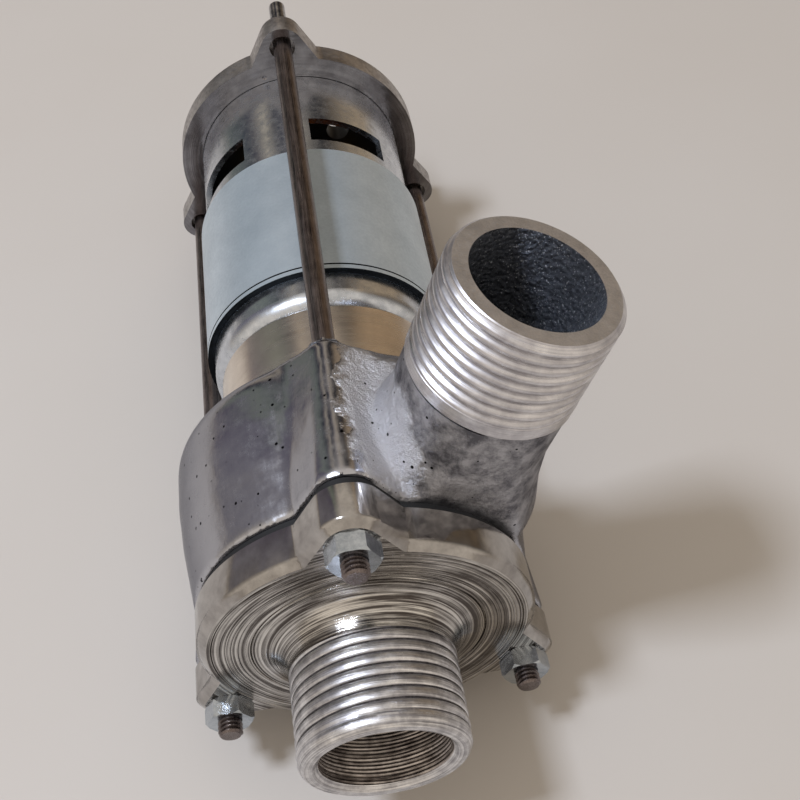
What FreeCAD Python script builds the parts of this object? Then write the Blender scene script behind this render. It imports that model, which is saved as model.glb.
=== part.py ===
import FreeCAD, Part
import math
import os
import Sketcher

from FreeCAD import Placement, Rotation, Vector

# Small direct-current water pump: a cast scroll casing with an inlet cover, driven by a can motor,
# all of it clamped between the cover and a rear ring by three long tie rods.
# Frame: millimetres, +Z up. The origin is the centre of the inlet mouth, and the pump's axis runs
# along +Y from the inlet to the back of the motor. The first tie rod is straight above the axis.

DRIVING_SIZES = [
    # inlet cover
    ("thread_r", 13.0, "crest radius of both threaded spigots, three-quarter inch pipe"),
    ("mouth_chamfer", 0.9, "bevel round both mouths"),
    ("inlet_bore_r", 10.0, "bored-out mouth of the inlet"),
    ("inlet_deep", 15.0, "depth of that bore"),
    ("throat_r", 9.3, "cast passages behind the two bored-out mouths"),
    ("cover_face", 19.8, "inlet mouth to the cover's front face"),
    ("cover_thick", 6.6, "cover flange"),
    ("cover_r", 26.6, "round part of the cover's outline"),
    ("spigot_root_r", 4.8, "concave fillet where the inlet spigot meets the face"),
    ("register_in", 3.4, "register of the cover inside its round outline"),
    ("register_deep", 1.6, "how far the register enters the casing"),
    ("register_spare", 0.4, "seat of the register deeper than the register"),
    ("cover_bevel", 1.4, "ground bevel round the cover's front face"),
    ("edge_round", 0.9, "rounding of the clamp ring's back edge"),
    # tie rods and lugs
    ("rod_count", 3, "tie rods"),
    ("rod_out", 1.7, "circle of the tie rods outside the cover's round outline"),
    ("rod_r", 1.84, "tie rod of drawn bar; M4 threads meet their nuts at this radius too"),
    ("rod_proud_front", 5.5, "rod past the cover's face"),
    ("rod_proud_rear", 9.8, "turned-down tail of a rod past the clamp ring"),
    ("rod_tail_r", 1.65, "that tail"),
    ("rod_tip_r", 2.0, "crests of the M4 thread on a rod's tip, in front of its nut"),
    ("rod_hole_r", 2.2, "clearance hole in cover and casing"),
    ("rear_hole_r", 2.6, "countersunk mouth of a tapped hole in the clamp ring"),
    ("rear_hole_deep", 1.6, "depth of that mouth"),
    ("lug_r", 5.3, "lug round a rod hole"),
    ("lug_foot_half", 8.8, "half width of a lug's foot"),
    ("lug_foot_in", 2.7, "foot of a lug inside the cover's round outline"),
    ("nut_flat_r", 3.5, "half the M4 nut's width across flats"),
    ("nut_thick", 3.2, "M4 nut"),
    # gasket
    ("gasket_thick", 1.4, "cover gasket"),
    ("gasket_inset", 0.7, "gasket edge inside the casting's outline"),
    # casing
    ("casing_depth", 29.2, "joint face to the casing's back face"),
    ("casing_r", 28.5, "widest radius of the casing's barrel"),
    ("barrel_mid_r", 28.0, "barrel where its front taper eases off"),
    ("barrel_mid", 11.0, "joint face to that place"),
    ("barrel_full", 18.0, "joint face to the widest radius"),
    ("casing_back_round", 4.9, "rounding of the barrel's back edge"),
    ("column_back_r", 3.2, "lug column round its rod hole at the back face"),
    ("column_back_half", 19.0, "half width of a column's foot at the back face"),
    ("column_back_up", 18.2, "that foot from the axis"),
    ("back_flat_r", 24.4, "flat part of the casing's back face"),
    ("back_slope_r", 26.8, "radius where the steep part of the back edge ends"),
    ("back_slope", 1.1, "fall of the steep part"),
    ("back_fall", 2.4, "fall of the whole back edge, out to the lug columns"),
    ("back_wall", 6.5, "casing's back wall"),
    ("scroll_min_r", 16.4, "scroll at its cutwater"),
    ("scroll_step", 0.6, "growth of the scroll each quarter turn"),
    ("fit_gap", 0.1, "radial clearance of the registers"),
    # outlet
    ("outlet_lean", 20.6, "outlet axis from the vertical, degrees"),
    ("outlet_offset", 9.0, "outlet axis from the pump's axis"),
    ("outlet_reach", 60.5, "pump's axis to the outlet mouth"),
    ("outlet_axial", 40.0, "inlet mouth to the outlet's axis"),
    ("outlet_bore_r", 9.8, "cored mouth of the outlet"),
    ("outlet_deep", 26.5, "depth of that mouth"),
    ("outlet_thread", 18.2, "threaded length of the outlet"),
    ("pipe_r", 12.8, "cast outlet pipe below the thread"),
    ("root_r", 16.2, "foot of the outlet pipe"),
    ("root_sunk", 8.0, "foot carried on inside the barrel"),
    ("root_mid_r", 14.0, "foot halfway up"),
    ("root_start", 19.0, "height where the foot starts"),
    ("root_end", 33.0, "height where the foot has become the pipe"),
    # adapter between casing and motor
    ("adapter_r", 20.1, "turned adapter"),
    ("adapter_len", 16.0, "casing's back face to the motor's front face"),
    ("spigot_r", 10.4, "adapter's locating spigot"),
    ("spigot_deep", 2.0, "spigot inside the casing"),
    ("seal_r", 8.0, "seat of the shaft seal"),
    ("seal_len", 3.2, "shaft seal"),
    ("seal_lip_r", 5.4, "hole in the casing's wall in front of the seal"),
    ("collar_clear", 0.6, "radial space round the turning collar"),
    ("screw_pitch_r", 14.5, "motor mounting screws"),
    ("screw_r", 2.0, "M4 mounting screw"),
    ("screw_head_r", 3.5, "head of the mounting screw"),
    ("screw_head_len", 3.6, "height of that head"),
    ("screw_bite", 4.0, "screw past the motor's face"),
    ("screw_key_r", 1.7, "hexagon socket of the screw head"),
    ("screw_key_deep", 2.0, "depth of that socket"),
    ("screw_seat", 4.0, "adapter wall under the screw heads"),
    ("screw_count", 2, "mounting screws"),
    ("counterbore_r", 3.8, "counterbore for a screw head"),
    # motor
    ("can_r", 21.2, "motor can"),
    ("can_wall", 1.2, "sheet of the can"),
    ("can_len", 66.7, "motor can, front face to rim"),
    ("can_round", 3.2, "drawn front corner of the can"),
    ("boss_r", 7.8, "front bearing boss"),
    ("boss_len", 4.4, "boss in front of the face"),
    ("boss_wall", 1.0, "front wall of the boss"),
    ("shaft_hole_r", 3.2, "holes that the motor shaft passes"),
    ("ring_start", 7.0, "motor face to the flux ring"),
    ("ring_len", 33.0, "flux ring"),
    ("ring_thick", 1.25, "flux ring sheet"),
    ("ring_line", 0.9, "front edge of the flux ring to its turned line"),
    ("line_wide", 0.35, "that line, and its depth"),
    ("seam_angle", 3.0, "open seam at the bottom of the flux ring, degrees"),
    ("vent_start", 44.5, "motor face to the vent windows"),
    ("vent_len", 6.8, "vent windows along the can"),
    ("vent_angle", 44.0, "angle of one window, degrees"),
    ("vent_right", 30.0, "centre of the first pair of windows, degrees"),
    ("vent_left", -52.0, "centre of the second pair, degrees"),
    ("pair", 2, "windows of a pair, magnets, springs"),
    ("magnet_thick", 2.7, "magnet arcs"),
    ("magnet_start", 10.0, "motor face to the magnets"),
    ("magnet_len", 31.0, "magnet arcs along the axis"),
    ("magnet_angle", 130.0, "angle of a magnet, degrees"),
    ("spring_thick", 0.6, "bowed strip that holds the magnets apart"),
    ("spring_len", 12.0, "that strip along the axis"),
    ("air_gap", 0.45, "between armature and magnets"),
    ("core_start", 12.0, "motor face to the armature stack"),
    ("core_len", 27.0, "armature stack"),
    ("slot_count", 5, "armature slots"),
    ("core_yoke", 6.0, "shaft to the bottom of a slot"),
    ("tooth_head", 1.9, "tooth heads outside a slot"),
    ("slot_angle", 52.0, "angle of a slot, degrees"),
    ("slot_mouth", 1.8, "opening of a slot"),
    ("coil_gap", 0.2, "insulation between winding and core"),
    ("coil_round", 1.8, "rounding of the coil ends"),
    ("coil_side_angle", 2.0, "angle between a coil and its slot's sides, degrees"),
    ("coil_proud", 4.0, "coil ends past the stack"),
    ("shaft_r", 2.5, "motor shaft"),
    ("shaft_front", 16.5, "shaft in front of the motor's face"),
    ("commutator_r", 6.0, "commutator"),
    ("commutator_len", 9.0, "commutator"),
    ("bar_clear", 0.7, "coil ends to the commutator"),
    ("bar_gap", 0.6, "slit between two commutator bars"),
    ("bar_deep", 1.0, "depth of a slit"),
    ("bearing_r", 6.5, "outside of the ball bearings"),
    ("bearing_len", 4.0, "ball bearings"),
    ("race_wall", 1.2, "wall of a bearing race"),
    ("ball_count", 7, "balls of a bearing"),
    ("cap_thick", 4.5, "end cap inside the can"),
    ("cap_boss_r", 8.6, "bearing boss of the end cap"),
    ("cap_boss_len", 2.2, "that boss in front of the cap"),
    ("cap_vent_r", 2.4, "air holes in the end cap"),
    ("cap_vent_pitch", 12.5, "circle of the air holes"),
    ("cap_vent_count", 4, "air holes"),
    ("cap_vent_turn", 45.0, "first air hole from the vertical, degrees"),
    ("brush_width", 4.0, "carbon brush"),
    ("brush_long", 6.0, "carbon brush along the axis"),
    ("brush_travel", 7.0, "carbon brush from the commutator outwards"),
    ("holder_wall", 0.6, "brass of a brush holder"),
    ("holder_start", 8.5, "axis to the holder's inner end"),
    ("holder_len", 4.4, "holder outwards"),
    ("leaf_thick", 0.4, "leaf spring behind a brush"),
    ("leaf_width", 3.0, "leaf spring"),
    ("leaf_len", 15.5, "leaf spring from the end cap forwards"),
    ("blade_wide", 4.8, "terminal blade"),
    ("blade_thick", 0.8, "terminal blade"),
    ("blade_proud", 8.5, "terminal behind the end cap"),
    ("blade_inside", 1.5, "terminal in front of the end cap"),
    # rear clamp ring
    ("clamp_r", 25.6, "rear clamp ring"),
    ("clamp_thick", 5.2, "clamp ring along the axis"),
    ("clamp_seat", 1.2, "how far the can sits in the clamp ring"),
    ("clamp_lip", 3.6, "lip that stops the can"),
    ("clamp_lug_r", 4.3, "lug of the clamp ring round a rod"),
    ("clamp_lug_half", 7.3, "half width of that lug's foot"),
    ("clamp_lug_in", 1.7, "that foot inside the clamp ring's round outline"),
    # rotor
    ("run_gap", 0.05, "radial running clearance at the seal"),
    ("coupler_r", 4.0, "shaft extension where it runs in the seal"),
    ("collar_r", 6.0, "collar of the extension that grips the motor shaft"),
    ("collar_len", 9.5, "that collar"),
    ("tip_r", 2.5, "extension inside the impeller"),
    ("shoulder_in", 0.6, "thread of the extension inside the hub"),
    ("tip_proud", 0.6, "thread past the impeller nut"),
    ("shaft_end_gap", 1.5, "end of the motor shaft to the collar's front"),
    ("flat_deep", 0.5, "flat for the grub screws on the motor shaft"),
    ("grub_r", 1.5, "grub screw, M3"),
    ("grub_len", 3.4, "grub screw"),
    ("grub_inset", 2.6, "collar's ends to the grub screws"),
    ("key_r", 0.8, "hexagon socket of a grub screw"),
    ("key_deep", 1.2, "depth of that socket"),
    ("shaft_back", 1.3, "motor shaft behind the can"),
    ("impeller_side", 0.6, "impeller's edge to the scroll at its cutwater"),
    ("impeller_clear", 1.0, "impeller to the cover's register"),
    ("impeller_back", 3.0, "impeller to the casing's back wall"),
    ("disc_thick", 2.5, "impeller's back disc"),
    ("hub_r", 4.6, "impeller hub"),
    ("hub_short", 4.5, "hub behind the vane tips"),
    ("vane_count", 5, "impeller vanes"),
    ("vane_thick", 1.9, "impeller vane"),
    ("vane_curve_r", 12.0, "curvature of a vane"),
    ("vane_centre", 8.1, "axis to the centre of that curve"),
    ("vane_eye_r", 7.4, "leading edge of a vane"),
    ("end_bevel", 0.4, "bevel on rods, nuts and shafts"),
]

DOC = FreeCAD.newDocument("dc_water_pump")
SHEET = DOC.addObject("Spreadsheet::Sheet", "Sizes")


class Size:
    """A number together with the expression that ties it to the sheet."""

    def __init__(self, number, text):
        self.number = number
        self.text = text

    def __add__(self, other):
        return join(self, other, "+", lambda a, b: a + b)

    def __radd__(self, other):
        return join(as_size(other), self, "+", lambda a, b: a + b)

    def __sub__(self, other):
        return join(self, other, "-", lambda a, b: a - b)

    def __rsub__(self, other):
        return join(as_size(other), self, "-", lambda a, b: a - b)

    def __mul__(self, other):
        return join(self, other, "*", lambda a, b: a * b)

    def __rmul__(self, other):
        return join(as_size(other), self, "*", lambda a, b: a * b)

    def __truediv__(self, other):
        return join(self, other, "/", lambda a, b: a / b)

    def __rtruediv__(self, other):
        return join(as_size(other), self, "/", lambda a, b: a / b)

    def __neg__(self):
        return Size(-self.number, "(-1 * " + self.text + ")")


def as_size(value):
    if isinstance(value, Size):
        return value
    return Size(value, repr(value))


def join(left, right, sign, work):
    left = as_size(left)
    right = as_size(right)
    return Size(work(left.number, right.number), "(" + left.text + " " + sign + " " + right.text + ")")


def sine(angle):
    angle = as_size(angle)
    return Size(math.sin(math.radians(angle.number)), "sin(" + angle.text + " * 1 deg)")


def cosine(angle):
    angle = as_size(angle)
    return Size(math.cos(math.radians(angle.number)), "cos(" + angle.text + " * 1 deg)")


class Sheet:
    """The driving sizes by name; each is a Size bound to its cell."""

    def __init__(self, rows):
        for number, (name, value, note) in enumerate(rows, start=1):
            SHEET.set("A%d" % number, name)
            SHEET.set("B%d" % number, str(value))
            SHEET.set("C%d" % number, note)
            SHEET.setAlias("B%d" % number, name)
            setattr(self, name, Size(value, "Sizes." + name))


d = Sheet(DRIVING_SIZES)
DOC.recompute()

# Places along the pump's axis, each worked out from the pieces in front of it
cover_back = d.cover_face + d.cover_thick
joint = cover_back + d.gasket_thick
casing_back = joint + d.casing_depth
chamber_back = casing_back - d.back_wall
motor_face = casing_back + d.adapter_len
can_inside = motor_face + d.can_wall
can_rear = motor_face + d.can_len
clamp_front = can_rear - d.clamp_seat
clamp_back = clamp_front + d.clamp_thick
nut_front = d.cover_face - d.nut_thick
register_end = joint + d.register_deep
outlet_thread_start = d.outlet_reach - d.outlet_thread

# Radii that follow from a neighbour
rod_pitch_r = d.cover_r + d.rod_out
register_r = d.cover_r - d.register_in
impeller_r = d.scroll_min_r - d.impeller_side
lug_foot_up = d.cover_r - d.lug_foot_in
clamp_lug_up = d.clamp_r - d.clamp_lug_in
can_inner_r = d.can_r - d.can_wall
magnet_inner_r = can_inner_r - d.magnet_thick
core_r = magnet_inner_r - d.air_gap
slot_top_r = core_r - d.tooth_head
slot_floor_r = d.shaft_r + d.core_yoke
race_inner_r = d.shaft_r + d.race_wall
race_outer_r = d.bearing_r - d.race_wall

# Places inside the motor
front_bearing = motor_face - d.boss_len + d.boss_wall
rear_bearing = can_rear - d.bearing_len - d.boss_wall
cap_front = can_rear - d.cap_thick
core_start = motor_face + d.core_start
core_end = core_start + d.core_len
commutator_start = core_end + d.coil_proud + d.bar_clear
brush_middle = commutator_start + d.commutator_len / 2
brush_end = d.commutator_r + d.run_gap + d.brush_travel
blade_across = brush_end + d.leaf_thick + d.blade_thick / 2

# Places on the rotor
impeller_front = register_end + d.impeller_clear
disc_back = chamber_back - d.impeller_back
disc_front = disc_back - d.disc_thick
hub_front = impeller_front + d.hub_short
shaft_tip = motor_face - d.shaft_front
collar_start = shaft_tip + d.shaft_end_gap
collar_end = collar_start + d.collar_len
shaft_end = can_rear + d.shaft_back
coupler_tip = hub_front - d.nut_thick - d.tip_proud
seal_start = casing_back - d.spigot_deep - d.seal_len

FULL_TURN = 360.0
HALF_TURN = 180.0
QUARTER_TURN = 90.0
HEX_HALF = 30.0

# Cuts run past the faces that they leave by this much
PAST = 1.0

ALONG_Y = Rotation(Vector(1, 0, 0), -QUARTER_TURN)
SUB_PARTS = []


def bind(item, name, size):
    item.setExpression(name, as_size(size).text)


def keep(item, label):
    item.Label = label
    SUB_PARTS.append(item)
    return item


# Sketches, turned and padded features

def new_body(label):
    body = DOC.addObject("PartDesign::Body", label)
    return keep(body, label)


def origin_part(body, role):
    for feature in body.Origin.OriginFeatures:
        if feature.Role == role:
            return feature
    raise ValueError(role)


def sketch_across(body, axial, lean=None):
    """A sketch square to the pump's axis: its x is X and its y is Z, or leans towards X."""
    sketch = body.newObject("Sketcher::SketchObject", "outline")
    sketch.AttachmentSupport = (origin_part(body, "XZ_Plane"), [""])
    sketch.MapMode = "FlatFace"
    if lean is not None:
        turn = Rotation(Vector(0, 0, -1), as_size(lean).number)
        sketch.AttachmentOffset = Placement(Vector(0, 0, 0), turn)
        bind(sketch, "AttachmentOffset.Rotation.Angle", lean)
    bind(sketch, "AttachmentOffset.Base.z", -as_size(axial))
    return sketch


def sketch_along(body):
    """A sketch through the pump's axis: its x is the radius, its y runs along the axis."""
    sketch = body.newObject("Sketcher::SketchObject", "profile")
    sketch.AttachmentSupport = (origin_part(body, "XY_Plane"), [""])
    sketch.MapMode = "FlatFace"
    return sketch


def place_point(sketch, line, across, up):
    """Ties the start of a line to two distances from the sketch's origin."""
    for size, axis, kind in ((across, -2, "DistanceX"), (up, -1, "DistanceY")):
        if isinstance(size, Size):
            number = sketch.addConstraint(Sketcher.Constraint(kind, -1, 1, line, 1, size.number))
            bind(sketch, "Constraints[%d]" % number, size)
        else:
            sketch.addConstraint(Sketcher.Constraint("PointOnObject", line, 1, axis))


def polygon(sketch, points):
    """A closed outline of straight lines; a plain 0 puts a point on the sketch's axis."""
    numbers = [Vector(as_size(x).number, as_size(y).number, 0) for x, y in points]
    first = sketch.GeometryCount
    for here, there in zip(numbers, numbers[1:] + numbers[:1]):
        sketch.addGeometry(Part.LineSegment(here, there), False)
    count = len(points)
    for index in range(count):
        sketch.addConstraint(
            Sketcher.Constraint("Coincident", first + index, 2, first + (index + 1) % count, 1)
        )
    for index, (across, up) in enumerate(points):
        place_point(sketch, first + index, across, up)
    return sketch


def circle(sketch, radius, across=0, up=0):
    """A circle of a bound radius, at the origin or at bound distances from it."""
    centre = Vector(as_size(across).number, as_size(up).number, 0)
    ring = sketch.addGeometry(Part.Circle(centre, Vector(0, 0, 1), as_size(radius).number), False)
    number = sketch.addConstraint(Sketcher.Constraint("Radius", ring, as_size(radius).number))
    bind(sketch, "Constraints[%d]" % number, radius)
    for size, axis, kind in ((across, -2, "DistanceX"), (up, -1, "DistanceY")):
        if isinstance(size, Size):
            number = sketch.addConstraint(Sketcher.Constraint(kind, -1, 1, ring, 3, size.number))
            bind(sketch, "Constraints[%d]" % number, size)
        else:
            sketch.addConstraint(Sketcher.Constraint("PointOnObject", ring, 3, axis))
    return ring


def sector(sketch, inner_r, outer_r, span):
    """A slice of a ring, centred on the sketch's upright axis."""
    half = math.radians(as_size(span).number) / 2
    first = sketch.GeometryCount
    add = sketch.addConstraint
    ends = []
    for radius in (inner_r, outer_r):
        ring = Part.Circle(Vector(0, 0, 0), Vector(0, 0, 1), radius.number)
        bow = Part.ArcOfCircle(ring, math.pi / 2 - half, math.pi / 2 + half)
        arc = sketch.addGeometry(bow, False)
        ends.append((bow.StartPoint, bow.EndPoint))
        number = add(Sketcher.Constraint("Radius", arc, radius.number))
        bind(sketch, "Constraints[%d]" % number, radius)
        add(Sketcher.Constraint("Coincident", arc, 3, -1, 1))
        add(Sketcher.Constraint("Symmetric", arc, 1, arc, 2, -2))
    for end in (1, 2):
        side = Part.LineSegment(ends[0][end - 1], ends[1][end - 1])
        line = sketch.addGeometry(side, False)
        add(Sketcher.Constraint("Coincident", line, 1, first, end))
        add(Sketcher.Constraint("Coincident", line, 2, first + 1, end))
    add(Sketcher.Constraint("PointOnObject", -1, 1, line))
    number = add(Sketcher.Constraint("Angle", first, half * 2))
    bind(sketch, "Constraints[%d]" % number, span)
    return sketch


def turned(body, sketch, groove=False):
    """Turns a profile round its own upright axis, adding or cutting material."""
    before = volume(body)
    kind = "PartDesign::Groove" if groove else "PartDesign::Revolution"
    feature = body.newObject(kind, "turned")
    feature.Profile = sketch
    feature.ReferenceAxis = (sketch, ["V_Axis"])
    feature.Angle = FULL_TURN
    DOC.recompute()
    check_change(body, before, groove)
    return feature


def volume(body):
    shape = body.Shape
    return 0.0 if shape.isNull() else shape.Volume


def check_change(body, before, cut):
    """A cut must take material away and an addition must bring some."""
    change = volume(body) - before
    if (cut and change >= -1e-6) or (not cut and change <= 1e-6):
        raise RuntimeError("a feature of %s changed nothing" % body.Label)


def pad(body, sketch, length):
    """Raises an outline towards +Y."""
    before = volume(body)
    feature = body.newObject("PartDesign::Pad", "pad")
    feature.Profile = sketch
    feature.Reversed = True
    bind(feature, "Length", length)
    DOC.recompute()
    check_change(body, before, False)
    return feature


def loft(body, first, last):
    """Joins two outlines with straight flanks."""
    before = volume(body)
    feature = body.newObject("PartDesign::AdditiveLoft", "loft")
    feature.Profile = first
    feature.Sections = [last]
    feature.Ruled = True
    DOC.recompute()
    check_change(body, before, False)
    return feature


def pocket(body, sketch, length, forwards=False):
    """Cuts an outline towards +Y, or towards -Y when it goes forwards."""
    before = volume(body)
    feature = body.newObject("PartDesign::Pocket", "pocket")
    feature.Profile = sketch
    feature.Reversed = forwards
    bind(feature, "Length", length)
    DOC.recompute()
    check_change(body, before, True)
    return feature


def around(body, feature, count, cut=False):
    """Repeats a feature round the pump's axis."""
    before = volume(body)
    pattern = body.newObject("PartDesign::PolarPattern", "round_pattern")
    pattern.Originals = [feature]
    pattern.Axis = (origin_part(body, "Y_Axis"), [""])
    pattern.Angle = FULL_TURN
    bind(pattern, "Occurrences", count)
    body.Tip = pattern
    DOC.recompute()
    check_change(body, before, cut)
    return pattern


def dress_edges(body, names, kind, property_name, size):
    """Fillets or chamfers the named edges of the body's tip."""
    if not names:
        raise RuntimeError("no edge to dress on %s" % body.Label)
    base = body.Tip
    feature = body.newObject(kind, "edges")
    feature.Base = (base, names)
    bind(feature, property_name, size)
    DOC.recompute()
    if not feature.isValid():
        raise RuntimeError("the edges of %s failed" % body.Label)
    return feature


def round_edges(body, names, radius):
    return dress_edges(body, names, "PartDesign::Fillet", "Radius", radius)


def bevel_edges(body, names, size):
    return dress_edges(body, names, "PartDesign::Chamfer", "Size", size)


def ring_edges(body, radius, axial):
    """The round edges about the pump's axis with this radius at this place."""
    names = []
    for index, edge in enumerate(body.Shape.Edges, start=1):
        curve = edge.Curve
        if not isinstance(curve, Part.Circle):
            continue
        centred = math.hypot(curve.Center.x, curve.Center.z) < 1e-4
        if centred and abs(curve.Radius - radius.number) < 1e-4:
            if abs(curve.Center.y - as_size(axial).number) < 1e-4:
                names.append("Edge%d" % index)
    return names


def outline_edges(body, axial, inside_r):
    """The edges that lie in one cross plane, outside a radius."""
    names = []
    for index, edge in enumerate(body.Shape.Edges, start=1):
        box = edge.BoundBox
        level = as_size(axial).number
        if abs(box.YMin - level) > 1e-3 or abs(box.YMax - level) > 1e-3:
            continue
        points = [edge.valueAt(edge.FirstParameter), edge.valueAt(edge.LastParameter)]
        if min(math.hypot(p.x, p.z) for p in points) > inside_r:
            names.append("Edge%d" % index)
    return names


def lug_outline(sketch, radius, foot_half, foot_up):
    """A lug round the top rod: an arc over the rod hole and two flanks down to its foot."""
    pitch = rod_pitch_r.number
    top = Vector(0, pitch, 0)
    left = Vector(-foot_half.number, foot_up.number, 0)
    away = left - top
    lean = (math.atan2(away.y, away.x) - math.acos(radius.number / away.Length)) % (2 * math.pi)
    touch = top + Vector(math.cos(lean), math.sin(lean), 0) * radius.number
    mirror = Vector(-touch.x, touch.y, 0)
    right = Vector(-left.x, left.y, 0)
    foot = sketch.addGeometry(Part.LineSegment(left, right), False)
    up_left = sketch.addGeometry(Part.LineSegment(left, touch), False)
    up_right = sketch.addGeometry(Part.LineSegment(mirror, right), False)
    bow = Part.ArcOfCircle(Part.Circle(top, Vector(0, 0, 1), radius.number), math.pi - lean, lean)
    arc = sketch.addGeometry(bow, False)
    add = sketch.addConstraint
    add(Sketcher.Constraint("Coincident", foot, 1, up_left, 1))
    add(Sketcher.Constraint("Coincident", foot, 2, up_right, 2))
    add(Sketcher.Constraint("Tangent", up_left, 2, arc, 2))
    add(Sketcher.Constraint("Tangent", up_right, 1, arc, 1))
    add(Sketcher.Constraint("PointOnObject", arc, 3, -2))
    add(Sketcher.Constraint("Symmetric", foot, 1, foot, 2, -2))
    number = add(Sketcher.Constraint("DistanceY", -1, 1, arc, 3, pitch))
    bind(sketch, "Constraints[%d]" % number, rod_pitch_r)
    number = add(Sketcher.Constraint("Radius", arc, radius.number))
    bind(sketch, "Constraints[%d]" % number, radius)
    number = add(Sketcher.Constraint("DistanceY", -1, 1, foot, 1, foot_up.number))
    bind(sketch, "Constraints[%d]" % number, foot_up)
    number = add(Sketcher.Constraint("DistanceX", foot, 1, foot, 2, 2 * foot_half.number))
    bind(sketch, "Constraints[%d]" % number, foot_half * 2)


def add_lugs(body, start, length, radius, foot_half, foot_up):
    """Three lugs round the rods, from one cross plane towards the back."""
    sketch = sketch_across(body, start)
    lug_outline(sketch, radius, foot_half, foot_up)
    return around(body, pad(body, sketch, length), d.rod_count)


def add_columns(body):
    """Three lug columns of the casing, low and broad where they reach its back face."""
    front = sketch_across(body, joint)
    lug_outline(front, d.lug_r, d.lug_foot_half, lug_foot_up)
    back = sketch_across(body, casing_back)
    lug_outline(back, d.column_back_r, d.column_back_half, d.column_back_up)
    around(body, loft(body, front, back), d.rod_count)
    fall = [
        (d.back_flat_r, casing_back + PAST),
        (d.back_flat_r, casing_back),
        (d.back_slope_r, casing_back - d.back_slope),
        (rod_pitch_r + d.lug_r, casing_back - d.back_fall),
        (rod_pitch_r + d.lug_r, casing_back + PAST),
    ]
    turned(body, polygon(sketch_along(body), fall), groove=True)


def drill_lugs(body, start, length, radius):
    """The rod holes, from one cross plane towards the back."""
    sketch = sketch_across(body, start - PAST)
    circle(sketch, radius, 0, rod_pitch_r)
    return around(body, pocket(body, sketch, length + PAST * 2), d.rod_count, cut=True)


# Plain solids and groups

def cylinder(radius, length, axial, across=0.0, up=0.0):
    """A cylinder along the pump's axis."""
    item = DOC.addObject("Part::Cylinder", "cylinder")
    item.Placement = Placement(Vector(0, 0, 0), ALONG_Y)
    bind(item, "Radius", radius)
    bind(item, "Height", length)
    put(item, across, axial, up)
    return item


def put(item, across, axial, up):
    bind(item, "Placement.Base.x", across)
    bind(item, "Placement.Base.y", axial)
    bind(item, "Placement.Base.z", up)


def cone(front_r, back_r, length, axial, across=0.0, up=0.0):
    """A cone along the pump's axis, from its front radius to its back radius."""
    item = DOC.addObject("Part::Cone", "cone")
    item.Placement = Placement(Vector(0, 0, 0), ALONG_Y)
    bind(item, "Radius1", front_r)
    bind(item, "Radius2", back_r)
    bind(item, "Height", length)
    put(item, across, axial, up)
    return item


def stem(radius, length, axial, across=0.0, up=0.0, bevel=None):
    """A round bar along the pump's axis with both of its ends bevelled."""
    bevel = d.end_bevel if bevel is None else bevel
    front = cone(radius - bevel, radius, bevel, axial, across, up)
    middle = cylinder(radius, length - bevel * 2, axial + bevel, across, up)
    back = cone(radius, radius - bevel, bevel, axial + length - bevel, across, up)
    return fuse([front, middle, back])


def hexagon(flat_r, thick, axial, across=0.0, up=0.0):
    """A hexagon prism along the pump's axis with a flat facing up."""
    prism = DOC.addObject("Part::Prism", "hexagon")
    prism.Polygon = 6
    prism.Placement = Placement(Vector(0, 0, 0), ALONG_Y)
    bind(prism, "Circumradius", flat_r / cosine(HEX_HALF))
    bind(prism, "Height", thick)
    put(prism, across, axial, up)
    return prism


def hex_nut(axial, across=0.0, up=0.0):
    """An M4 nut with its corners bevelled."""
    blank = stem(d.nut_flat_r / cosine(HEX_HALF), d.nut_thick, axial, across, up)
    body = common(hexagon(d.nut_flat_r, d.nut_thick, axial, across, up), blank)
    return cut_away(body, cylinder(d.rod_r, d.nut_thick + PAST * 2, axial - PAST, across, up))


def cut_away(base, tool):
    item = DOC.addObject("Part::Cut", "cut")
    item.Base = base
    item.Tool = tool
    return item


def fuse(items):
    item = DOC.addObject("Part::MultiFuse", "fusion")
    item.Shapes = items
    return item


def common(first, second):
    item = DOC.addObject("Part::MultiCommon", "overlap")
    item.Shapes = [first, second]
    return item


def group(items, label):
    """Separate solids that share one node."""
    item = DOC.addObject("Part::Compound", label)
    item.Links = items
    return keep(item, label)


def block(wide, long, high, across, axial, up):
    """A block centred on its place across the axis, starting at its place along it."""
    item = DOC.addObject("Part::Box", "block")
    bind(item, "Length", wide)
    bind(item, "Width", long)
    bind(item, "Height", high)
    put(item, across - as_size(wide) / 2, axial, up - as_size(high) / 2)
    return item


# Inlet cover: the front casting with its threaded spigot

def inlet_cover():
    body = new_body("inlet_cover")
    profile = [
        (d.inlet_bore_r, 0),
        (d.thread_r - d.mouth_chamfer, 0),
        (d.thread_r, d.mouth_chamfer),
        (d.thread_r, d.cover_face),
        (d.cover_r, d.cover_face),
        (d.cover_r, cover_back),
        (register_r, cover_back),
        (register_r, register_end),
        (d.throat_r, register_end),
        (d.throat_r, d.inlet_deep),
        (d.inlet_bore_r, d.inlet_deep),
    ]
    turned(body, polygon(sketch_along(body), profile))
    round_edges(body, ring_edges(body, d.thread_r, d.cover_face), d.spigot_root_r)
    add_lugs(body, d.cover_face, d.cover_thick, d.lug_r, d.lug_foot_half, lug_foot_up)
    drill_lugs(body, d.cover_face, d.cover_thick, d.rod_hole_r)
    inside = d.cover_r.number - PAST
    bevel_edges(body, outline_edges(body, d.cover_face, inside), d.cover_bevel)


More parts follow.
